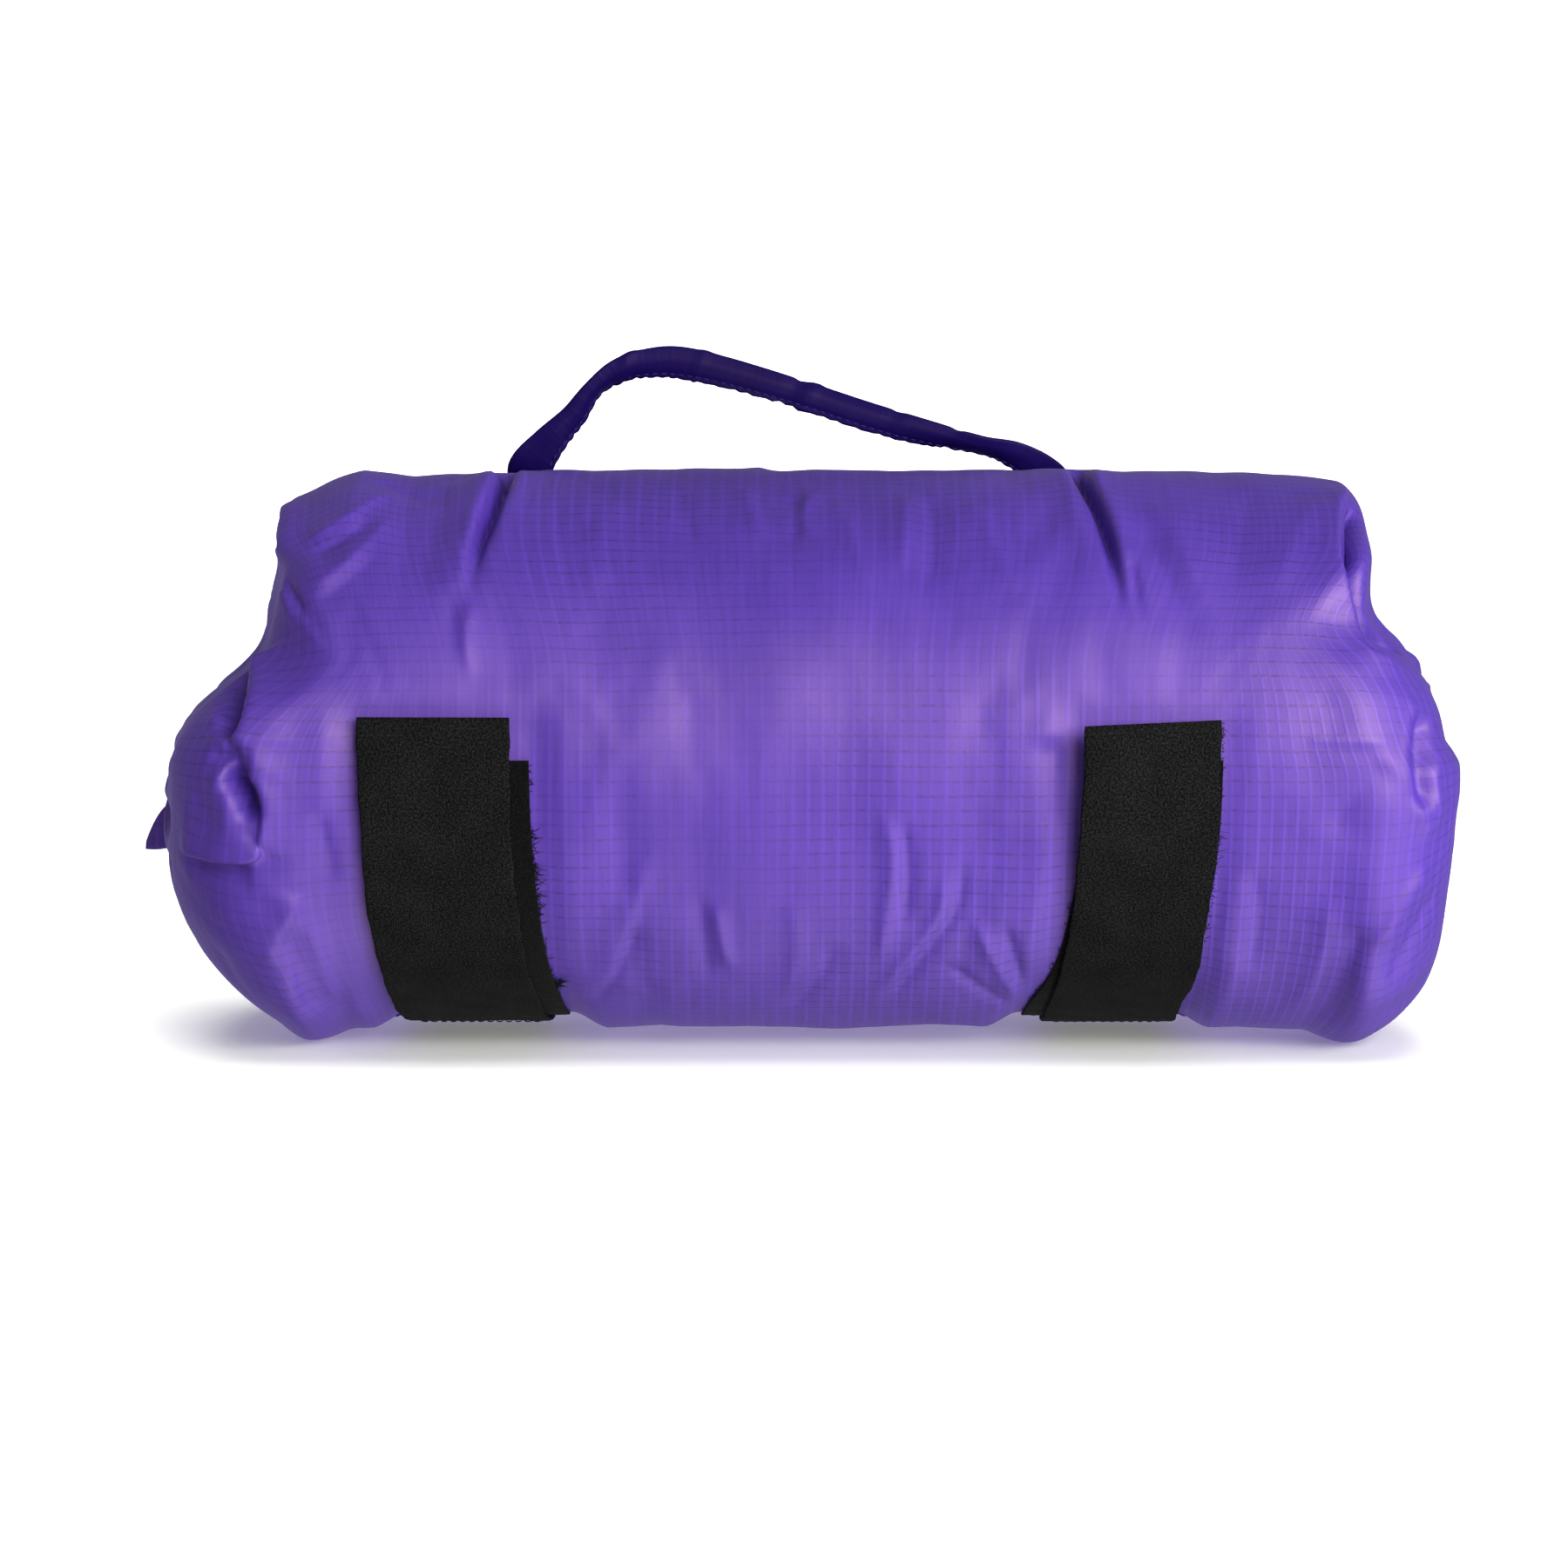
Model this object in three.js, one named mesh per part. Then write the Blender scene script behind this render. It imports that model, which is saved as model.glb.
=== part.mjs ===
// A compression sack: a ripstop roll packed full, closed by two hook-and-loop straps, with a carry handle on top.
// Millimetres, +Z up. The roll lies along X with its straps at the front, towards -Y, and stands on z = 0.
import * as THREE from "three";

// ---- Driving dimensions ----
const SACK_LENGTH = 443;
const SACK_RADIUS = 97;
const AXIS_HEIGHT = 101.5; // the belly between the ends hangs clear of the ground
const CORNER_RADIUS = 30; // between the round wall and each end
const END_START = 180; // where the round wall stops and an end begins, either way from the middle
const SKIN = 1; // ripstop with its seam allowance
const GAP = 0.3; // left between pieces that lie on each other
const AROUND = 32; // facets round the roll
const ALONG = 12; // facets along the round wall
const BAND_FACET = 5; // degrees: facets of the bands that lie round the roll

// How the packed roll settles out of a plain round one.
const TOP_TUCK = 35; // how much shorter the roll is along its top, at each end
const FOOT_TUCK = 18; // the same along its foot
const FOOT_SWELL = 0.085; // how much each end sags outwards at its foot
// Where each of these comes in, as [start, end] of its fade in millimetres from the middle or from the axis.
const NEAR_END = [120, SACK_LENGTH / 2];
const TOP_TUCK_ABOVE = [8, 48];
const FOOT_TUCK_BELOW = [40, 95];
const SAG_NEAR_END = [150, 182];
const SAG_BELOW = [20, 87];

const LOAD_DEPTH = 5; // from the skin down to the packed load
const TUCK_RADIUS = 16; // of the gathered fabric pushed in at the middle of an end

const STRAP_WIDTH = 50;
const WEBBING = 1.2; // thickness of the strap's webbing
const HOOK_TAPE = 1; // thickness of the hook tape on the strap's inner face
const LOOP_TAPE = 1.2; // thickness of the loop strip sewn to the sack
const THREAD = 0.5; // how far a bar tack stands up
const STRAP_TIP = -9; // degrees below the roll's axis, at the front, where the strap ends
const STRAP_HINGE = 48; // degrees: where the strap starts to peel away from the sack
const STRAP_SEWN_END = 112; // degrees: where the strap's sewn end stops, under the belly
const STRAP_HINGE_GAP = 1.2; // between the sewn part and the part that peels
const HOOK_START = 42; // degrees: the hook tape stops short of the hinge
const LOOP_TOP = -1; // degrees
const LOOP_FOOT = 76; // degrees
const PATCH_START = 78; // degrees: the reinforcement under the strap's sewn end

const STRAPS = [
  // x is the middle of the strap at the roll's axis height, and lean its sideways run per millimetre of height.
  { side: "left", x: -125.5, lean: -0.12, loopShift: 7 },
  { side: "right", x: 109.8, lean: 0.06, loopShift: -4 },
];

const HANDLE_BEHIND = 26; // how far behind the roll's top line the handle stands
const HANDLE_HEIGHT = 10.5; // of the folded strip, seen from the front
const HANDLE_THICKNESS = 4;
const HANDLE_LINE = [
  // x and z of the strip's middle line, from the left foot to the right one
  [-100, 202.5],
  [-89, 212],
  [-77, 224.6],
  [-66, 230.6],
  [-50.5, 233.3],
  [-34, 230.5],
  [-4.5, 221.8],
  [32.4, 211.5],
  [60, 205],
  [87, 202.5],
];
const HANDLE_STEPS = 30;
const FOOT_WIDTH = 15;
const FOOT_THICKNESS = 2.5;
const FOOT_FRONT = 18; // degrees behind the top line
const FOOT_BACK = 36;
const HANDLE_PATCH = { width: 26, thickness: 0.8, front: 13, back: 40 };
const HANDLE_FEET = [
  { side: "left", x: -99 },
  { side: "right", x: 87 },
];

const SEAM = { width: 7, thickness: 0.8, middle: -35, length: 340 }; // width and middle in degrees

const TAB = { root: -SACK_LENGTH / 2 - 2 * GAP, tip: -231.5, low: 64, high: 82, thickness: 1.6, y: 8 };

// ---- Materials ----
const cloth = (name, color, roughness) =>
  new THREE.MeshStandardMaterial({ name, color, roughness, metalness: 0 });
const RIPSTOP = cloth("ripstop", 0x6f4fbe, 0.45);
const HANDLE_CLOTH = cloth("handle_cloth", 0x4a3590, 0.5);
const BLACK_WEBBING = cloth("webbing", 0x232323, 0.85);
const BLACK_TAPE = cloth("tape", 0x101010, 0.95);
const PURPLE_THREAD = cloth("purple_thread", 0x53379e, 0.6);
const BLACK_THREAD = cloth("black_thread", 0x161616, 0.7);
const LOAD_CLOTH = cloth("load_cloth", 0xd8d8d6, 0.9);

const { smoothstep, degToRad } = THREE.MathUtils;

const part = new THREE.Group();

function add(name, geometry, material) {
  const mesh = new THREE.Mesh(geometry, material);
  mesh.name = name;
  part.add(mesh);
  return mesh;
}

// ---- The soft roll ----

/** How far a point of the plain round roll lies below its skin. */
function depthBelowSkin(x, r) {
  const beyondWall = r - (SACK_RADIUS - CORNER_RADIUS);
  const beyondEnd = Math.abs(x) - (SACK_LENGTH / 2 - CORNER_RADIUS);
  const corner = Math.hypot(Math.max(beyondWall, 0), Math.max(beyondEnd, 0));
  return CORNER_RADIUS - corner - Math.min(Math.max(beyondWall, beyondEnd), 0);
}

/** Moves each point of a geometry built on the plain roll's axis to where it lies on the packed, settled roll. */
function settle(geometry) {
  const p = geometry.getAttribute("position");
  for (let i = 0; i < p.count; i++) {
    const x = p.getX(i);
    const y = p.getY(i);
    const z = p.getZ(i);
    const depth = Math.max(depthBelowSkin(x, Math.hypot(y, z)), 0);
    const nearEnd = smoothstep(Math.abs(x), ...NEAR_END);
    const tuck =
      TOP_TUCK * smoothstep(z, ...TOP_TUCK_ABOVE) +
      FOOT_TUCK * smoothstep(-z, ...FOOT_TUCK_BELOW);
    const sag =
      smoothstep(Math.abs(x), ...SAG_NEAR_END) * smoothstep(-z, ...SAG_BELOW);
    const swell = 1 + FOOT_SWELL * sag;
    p.setXYZ(
      i,
      x - Math.sign(x) * tuck * nearEnd,
      y * swell,
      Math.max(z * swell + AXIS_HEIGHT, depth),
    );
  }
  return geometry;
}

/** A solid of revolution about the roll's axis, from a list of [x, radius] that closes on itself or on the axis. */
function revolve(outline) {
  const profile = outline.map(([x, r]) => new THREE.Vector2(r, x));
  return new THREE.LatheGeometry(profile, AROUND).rotateZ(-Math.PI / 2);
}

/** Points of the straight line from one [x, radius] to another, both ends included. */
function line([x0, r0], [x1, r1], steps) {
  return Array.from({ length: steps + 1 }, (_, i) => [
    x0 + ((x1 - x0) * i) / steps,
    r0 + ((r1 - r0) * i) / steps,
  ]);
}

/** The rounded corner at an end, at a depth below the skin, from the wall to the end face. */
function corner(depth, steps) {
  const radius = CORNER_RADIUS - depth;
  return Array.from({ length: steps + 1 }, (_, i) => {
    const a = ((Math.PI / 2) * i) / steps;
    return [
      SACK_LENGTH / 2 - CORNER_RADIUS + radius * Math.sin(a),
      SACK_RADIUS - CORNER_RADIUS + radius * Math.cos(a),
    ];
  });
}

/** Half an end's section at a depth below the skin, from where the end starts to the rim of its tuck. */
function endSection(depth) {
  const face = SACK_LENGTH / 2 - depth;
  const flat = line([face, SACK_RADIUS - CORNER_RADIUS], [face, TUCK_RADIUS], 3);
  return [[END_START, SACK_RADIUS - depth], ...corner(depth, 4), ...flat.slice(1)];
}

const mirrored = (outline) => outline.map(([x, r]) => [-x, r]).reverse();

/** Closes an outline so that its last point is its first. */
const closed = (outline) => [...outline, outline[0]];

function sackBodyTube() {
  const end = END_START - GAP / 2;
  const inner = SACK_RADIUS - SKIN;
  return settle(
    revolve(
      closed([
        ...line([end, inner], [-end, inner], ALONG),
        ...line([-end, SACK_RADIUS], [end, SACK_RADIUS], ALONG),
      ]),
    ),
  );
}

function rightEnd() {
  const outer = endSection(0);
  const inner = endSection(SKIN);
  outer[0][0] = END_START + GAP / 2;
  inner[0][0] = END_START + GAP / 2;
  return closed([...inner.reverse(), ...outer]);
}

function rightTuck() {
  const rim = TUCK_RADIUS - GAP;
  const face = SACK_LENGTH / 2;
  return [
    [face - LOAD_DEPTH + GAP, 0],
    [face - LOAD_DEPTH + GAP, rim],
    [face - SKIN / 2, rim],
    [face - SKIN, 0],
  ];
}

function packedLoad() {
  const right = [...endSection(LOAD_DEPTH), [SACK_LENGTH / 2 - LOAD_DEPTH, 0]];
  const bulk = line([-END_START, SACK_RADIUS - LOAD_DEPTH], right[0], ALONG);
  return settle(revolve([...mirrored(right), ...bulk.slice(1), ...right.slice(1)]));
}

// ---- Bands that lie round the roll ----

const rollAxes = new THREE.Matrix4().makeBasis(
  new THREE.Vector3(0, 1, 0),
  new THREE.Vector3(0, 0, 1),
  new THREE.Vector3(1, 0, 0),
);

/** A strip of a tube about the roll's axis. Angles are in degrees from +Y, turning up towards +Z. */
function band({ inner, thickness, from, to, width, steps = 1 }) {
  const [a, b] = [degToRad(Math.min(from, to)), degToRad(Math.max(from, to))];
  const shape = new THREE.Shape();
  shape.absarc(0, 0, inner + thickness, a, b, false);
  shape.absarc(0, 0, inner, b, a, true);
  shape.closePath();
  const facets = Math.max(1, Math.round(THREE.MathUtils.radToDeg(b - a) / BAND_FACET));
  return new THREE.ExtrudeGeometry(shape, {
    depth: width,
    steps,
    bevelEnabled: false,
    curveSegments: facets,
  })
    .translate(0, 0, -width / 2)
    .applyMatrix4(rollAxes);
}

const belowFront = (degrees) => 180 + degrees;
const behindTop = (degrees) => 90 - degrees;

/** Puts a piece that was made about the roll's axis in its place along the roll. */
function onRoll(geometry, x, lean = 0) {
  return geometry
    .applyMatrix4(new THREE.Matrix4().makeShear(0, 0, 0, 0, lean, 0))
    .translate(x, 0, AXIS_HEIGHT);
}

/** A bar of thread across a band: it lies flat on the roll at a radius and an angle. */
function bar({ radius, at, width, breadth, lean = 0, x }) {
  const tack = new THREE.BoxGeometry(width, breadth, THREAD)
    .translate(0, 0, radius + THREAD / 2)
    .rotateX(degToRad(at - 90));
  return onRoll(tack, x, lean);
}

// ---- Straps ----

const LOOP_RADIUS = SACK_RADIUS + GAP;
const SEWN_RADIUS = LOOP_RADIUS + LOOP_TAPE + GAP; // inner face of the strap's sewn part
const HOOK_RADIUS = SEWN_RADIUS;
const FREE_RADIUS = HOOK_RADIUS + HOOK_TAPE + GAP; // inner face of the webbing that peels
const HINGE_RADIUS = FREE_RADIUS + WEBBING / 2;

const halfHingeGap = THREE.MathUtils.radToDeg(STRAP_HINGE_GAP / 2 / HINGE_RADIUS);

function addStrap({ side, x, lean, loopShift }) {
  const strip = (inner, thickness, from, to, width, shift = 0) =>
    onRoll(
      band({
        inner,
        thickness,
        from: belowFront(from),
        to: belowFront(to),
        width,
      }),
      x + shift,
      lean,
    );
  add(
    `${side}_loop_strip`,
    strip(LOOP_RADIUS, LOOP_TAPE, LOOP_TOP, LOOP_FOOT, STRAP_WIDTH, loopShift),
    BLACK_TAPE,
  );
  add(
    `${side}_strap_patch`,
    strip(LOOP_RADIUS, LOOP_TAPE, PATCH_START, STRAP_SEWN_END + 3, STRAP_WIDTH + 6),
    RIPSTOP,
  );
  add(
    `${side}_strap_root`,
    strip(
      SEWN_RADIUS,
      WEBBING,
      STRAP_HINGE + halfHingeGap,
      STRAP_SEWN_END,
      STRAP_WIDTH,
    ),
    BLACK_WEBBING,
  );
  add(
    `${side}_strap_bartack`,
    bar({
      radius: SEWN_RADIUS + WEBBING + GAP,
      at: belowFront(STRAP_SEWN_END - 4),
      width: STRAP_WIDTH - 6,
      breadth: 3,
      x,
      lean,
    }),
    BLACK_THREAD,
  );
  add(
    `${side}_hook_strap`,
    strip(
      FREE_RADIUS,
      WEBBING,
      STRAP_TIP,
      STRAP_HINGE - halfHingeGap,
      STRAP_WIDTH,
    ),
    BLACK_WEBBING,
  );
  add(
    `${side}_hook_tape`,
    strip(HOOK_RADIUS, HOOK_TAPE, STRAP_TIP + 1, HOOK_START, STRAP_WIDTH - 4),
    BLACK_TAPE,
  );
}

// ---- Handle ----

function handleStrip() {
  const path = new THREE.CatmullRomCurve3(
    HANDLE_LINE.map(([x, z]) => new THREE.Vector3(x, HANDLE_BEHIND, z)),
    false,
    "centripetal",
  );
  const section = new THREE.Shape();
  section.absellipse(0, 0, HANDLE_THICKNESS / 2, HANDLE_HEIGHT / 2, 0, 2 * Math.PI);
  return new THREE.ExtrudeGeometry(section, {
    steps: HANDLE_STEPS,
    extrudePath: path,
    curveSegments: 5,
  });
}

function addHandleFoot({ side, x }) {
  const { width, thickness, front, back } = HANDLE_PATCH;
  const footRadius = SACK_RADIUS + GAP + thickness + GAP;
  add(
    `${side}_handle_patch`,
    onRoll(
      band({
        inner: SACK_RADIUS + GAP,
        thickness,
        from: behindTop(front),
        to: behindTop(back),
        width,
      }),
      x,
    ),
    RIPSTOP,
  );
  add(
    `${side}_handle_foot`,
    onRoll(
      band({
        inner: footRadius,
        thickness: FOOT_THICKNESS,
        from: behindTop(FOOT_FRONT),
        to: behindTop(FOOT_BACK),
        width: FOOT_WIDTH,
      }),
      x,
    ),
    HANDLE_CLOTH,
  );
  add(
    `${side}_handle_bartack`,
    bar({
      radius: footRadius + FOOT_THICKNESS + GAP,
      at: behindTop((FOOT_FRONT + FOOT_BACK) / 2),
      width: FOOT_WIDTH - 3,
      breadth: 3,
      x,
    }),
    PURPLE_THREAD,
  );
}

// ---- Small pieces ----

function endTab() {
  const { root, tip, low, high, thickness } = TAB;
  const shape = new THREE.Shape();
  shape.moveTo(root, low);
  shape.lineTo(tip, low + 3);
  shape.quadraticCurveTo(tip, high - 4, root - 3, high);
  shape.lineTo(root, high);
  shape.closePath();
  return new THREE.ExtrudeGeometry(shape, {
    depth: thickness,
    bevelEnabled: false,
    curveSegments: 5,
  })
    .rotateX(Math.PI / 2)
    .translate(0, TAB.y + thickness / 2, 0);
}

// ---- Assembly ----

add("sack_body_tube", sackBodyTube(), RIPSTOP);
add("right_end_gather", settle(revolve(rightEnd())), RIPSTOP);
add("left_end_gather", settle(revolve(mirrored(rightEnd()))), RIPSTOP);
add("right_end_tuck", settle(revolve(rightTuck())), RIPSTOP);
add("left_mouth_tuck", settle(revolve(mirrored(rightTuck()))), RIPSTOP);
add("packed_load", packedLoad(), LOAD_CLOTH);
add(
  "back_seam_binding",
  settle(
    band({
      inner: SACK_RADIUS + GAP,
      thickness: SEAM.thickness,
      from: SEAM.middle - SEAM.width / 2,
      to: SEAM.middle + SEAM.width / 2,
      width: SEAM.length,
      steps: 12,
    }),
  ),
  RIPSTOP,
);
STRAPS.forEach(addStrap);
add("carry_handle", handleStrip(), HANDLE_CLOTH);
HANDLE_FEET.forEach(addHandleFoot);
add("end_tab", endTab(), HANDLE_CLOTH);

// The part's origin is the middle of its footprint, on the ground.
part.updateMatrixWorld(true);
const bounds = new THREE.Box3().setFromObject(part, true);
const middle = bounds.getCenter(new THREE.Vector3());
part.position.set(-middle.x, -middle.y, -bounds.min.z);

export default part;
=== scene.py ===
"""A packed compression sack in purple ripstop, with two hook-and-loop straps and a carry handle."""

import math

import bpy
import numpy as np
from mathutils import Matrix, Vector, noise
from mathutils.bvhtree import BVHTree


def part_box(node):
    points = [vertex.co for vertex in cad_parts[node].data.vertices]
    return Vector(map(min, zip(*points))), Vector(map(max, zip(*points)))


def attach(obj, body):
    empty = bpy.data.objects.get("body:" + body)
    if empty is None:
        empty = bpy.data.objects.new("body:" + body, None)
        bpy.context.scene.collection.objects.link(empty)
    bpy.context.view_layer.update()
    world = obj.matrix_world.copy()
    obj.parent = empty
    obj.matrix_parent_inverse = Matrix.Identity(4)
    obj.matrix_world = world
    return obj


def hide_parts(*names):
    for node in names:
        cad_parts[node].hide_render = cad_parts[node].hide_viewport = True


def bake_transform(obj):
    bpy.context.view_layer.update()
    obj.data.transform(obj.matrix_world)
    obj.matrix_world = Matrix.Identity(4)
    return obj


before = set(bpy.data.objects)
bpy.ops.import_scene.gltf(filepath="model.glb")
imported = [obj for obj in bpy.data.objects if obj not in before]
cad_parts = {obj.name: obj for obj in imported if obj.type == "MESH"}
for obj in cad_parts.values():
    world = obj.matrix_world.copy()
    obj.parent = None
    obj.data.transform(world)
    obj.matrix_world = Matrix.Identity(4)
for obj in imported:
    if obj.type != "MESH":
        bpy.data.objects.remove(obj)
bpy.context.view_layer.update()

MM = 0.001

# ---- Places, read from the frame ----
tube_low, tube_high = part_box("sack_body_tube")
left_low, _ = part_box("left_end_gather")
_, right_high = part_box("right_end_gather")

RADIUS = (tube_high.y - tube_low.y) / 2
ROLL = RADIUS / MM  # the same in millimetres
AXIS_Y = (tube_high.y + tube_low.y) / 2
AXIS_Z = tube_high.z - RADIUS
AXIS = np.array([0, AXIS_Y, AXIS_Z])
MIDDLE_X = (left_low.x + right_high.x) / 2
HALF_LENGTH = (right_high.x - left_low.x) / 2

# ---- Camera: in front of the straps, looking a little down ----
CAMERA_AIM = Vector((MIDDLE_X - 10.4 * MM, 0, 87.3 * MM))
CAMERA_DISTANCE = 2.0
CAMERA_RISE = math.radians(5)
CAMERA_LENS = 133.3
CAMERA_PLACE = CAMERA_AIM + CAMERA_DISTANCE * Vector((0, -math.cos(CAMERA_RISE), math.sin(CAMERA_RISE)))


def smoothstep(x, start, end):
    t = np.clip((np.asarray(x, float) - start) / (end - start), 0, 1)
    return t * t * (3 - 2 * t)


def mix(a, b, t):
    return a + (b - a) * t


def unit(vectors):
    """A vector, or each row of an array of them, brought to length 1."""
    return vectors / np.maximum(np.linalg.norm(vectors, axis=-1, keepdims=True), 1e-12)


def away_from_axis(path):
    """The way straight out from the roll's axis at each point of a path."""
    outward = path - AXIS
    outward[:, 0] = 0
    return unit(outward)


# ---- Making objects ----
QUAD = ((0, 0), (0, 1), (1, 1), (1, 0))  # a quad's corners, as steps along the rows and the columns


def make_mesh(name, points, faces, material, uv=None, smooth=True):
    """A mesh object; uv holds one (u, v) in metres for each corner of each face."""
    mesh = bpy.data.meshes.new(name)
    mesh.from_pydata([tuple(p) for p in points], [], faces)
    mesh.polygons.foreach_set("use_smooth", [smooth] * len(mesh.polygons))
    if uv is not None:
        layer = mesh.uv_layers.new(name="cloth")
        layer.data.foreach_set("uv", np.asarray(uv, np.float32).ravel())
    mesh.materials.append(material)
    mesh.validate()
    obj = bpy.data.objects.new(name, mesh)
    bpy.context.scene.collection.objects.link(obj)
    return obj


def grid_faces(rows, columns, wrap):
    """Quads of a grid of points, row by row; wrap joins the last column to the first."""
    across = columns if wrap else columns - 1
    return [
        tuple((r + dr) * columns + (c + dc) % columns for dr, dc in QUAD)
        for r in range(rows - 1)
        for c in range(across)
    ]


def tube_faces(rows, columns):
    """The quads of a tube of points, row by row, and a face across each of its ends."""
    first = tuple(range(columns))
    last = tuple((rows - 1) * columns + c for c in first)
    return grid_faces(rows, columns, wrap=True) + [first[::-1], last]


def tube_uv(along, across, past_end=0):
    """Cloth coordinates for tube_faces, from each row's place along and each column's place across."""
    uv = [
        (along[r + dr], across[(c + dc) % len(across)])
        for r in range(len(along) - 1)
        for c in range(len(across))
        for dr, dc in QUAD
    ]
    uv += [(along[0] + past_end, a) for a in across[::-1]]
    return uv + [(along[-1] + past_end, a) for a in across]


def add_modifier(obj, kind, **settings):
    modifier = obj.modifiers.new(kind.lower(), kind)
    for key, value in settings.items():
        setattr(modifier, key, value)
    return modifier


def apply_modifiers(obj):
    """Replaces the object's mesh with its evaluated one."""
    bpy.context.view_layer.update()
    evaluated = obj.evaluated_get(bpy.context.evaluated_depsgraph_get())
    mesh = bpy.data.meshes.new_from_object(evaluated)
    obj.modifiers.clear()
    old = obj.data
    obj.data = mesh
    bpy.data.meshes.remove(old)
    mesh.name = obj.name


def get_points(mesh):
    points = np.empty(len(mesh.vertices) * 3)
    mesh.vertices.foreach_get("co", points)
    return points.reshape(-1, 3)


def set_points(mesh, points):
    mesh.vertices.foreach_set("co", np.asarray(points, float).ravel())
    mesh.update()


def get_normals(mesh):
    normals = np.empty(len(mesh.vertices) * 3)
    mesh.vertex_normals.foreach_get("vector", normals)
    return normals.reshape(-1, 3)


# ---- Materials ----
class Nodes:
    """Short calls for building a material's nodes."""

    def __init__(self, name):
        self.material = bpy.data.materials.new(name)
        self.material.use_nodes = True
        self.tree = self.material.node_tree
        self.shader = self.tree.nodes["Principled BSDF"]

    def add(self, kind, inputs=None, **settings):
        node = self.tree.nodes.new("ShaderNode" + kind)
        for key, value in settings.items():
            setattr(node, key, value)
        for key, value in (inputs or {}).items():
            self.put(node.inputs[key], value)
        return node

    def put(self, socket, value):
        if isinstance(value, bpy.types.NodeSocket):
            self.tree.links.new(value, socket)
        else:
            socket.default_value = value

    def math(self, operation, *values):
        return self.add("Math", dict(enumerate(values)), operation=operation).outputs[0]

    def times(self, a, b):
        return self.math("MULTIPLY", a, b)

    def plus(self, a, b):
        return self.math("ADD", a, b)

    def place(self):
        """The place in the object's own space."""
        return self.add("TexCoord").outputs["Object"]

    def cloth_coordinates(self):
        """The place on the cloth, in metres along and across it."""
        separate = self.add("SeparateXYZ", {0: self.add("UVMap", uv_map="cloth").outputs[0]})
        return separate.outputs[0], separate.outputs[1]

    def join(self, along, around):
        return self.add("CombineXYZ", {0: along, 1: around}).outputs[0]

    def noise(self, vector, scale, detail=3.0, roughness=0.5):
        inputs = {"Vector": vector, "Scale": scale, "Detail": detail, "Roughness": roughness}
        return self.add("TexNoise", inputs).outputs["Fac"]

    def remap(self, value, low, high, to_low=0.0, to_high=1.0):
        inputs = {"Value": value, "From Min": low, "From Max": high, "To Min": to_low, "To Max": to_high}
        return self.add("MapRange", inputs).outputs[0]

    def mix(self, factor, a, b):
        node = self.add("Mix", data_type="RGBA")
        # Of its inputs, 6 and 7 are the two colours.
        for index, value in ((0, factor), (6, a), (7, b)):
            self.put(node.inputs[index], value)
        return node.outputs[2]

    def line(self, coordinate, spacing, half_width):
        """1 on lines that lie across a coordinate at a spacing, in metres."""
        turns = self.math("DIVIDE", coordinate, spacing)
        off_line = self.math("ABSOLUTE", self.math("SUBTRACT", self.math("FRACT", turns), 0.5))
        share = half_width / spacing
        return self.remap(off_line, share * 1.7, share * 0.5)

    def bump(self, height, distance, strength=1.0, below=None):
        node = self.add("Bump", {"Strength": strength, "Distance": distance, "Height": height})
        if below is not None:
            self.put(node.inputs["Normal"], below)
        return node.outputs[0]

    def finish(self, color, roughness, normal=None, **constants):
        self.put(self.shader.inputs["Base Color"], color)
        self.put(self.shader.inputs["Roughness"], roughness)
        if normal is not None:
            self.put(self.shader.inputs["Normal"], normal)
        for key, value in constants.items():
            self.shader.inputs[key.replace("_", " ")].default_value = value
        return self.material


RIPSTOP_CELL = 5 * MM


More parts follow.
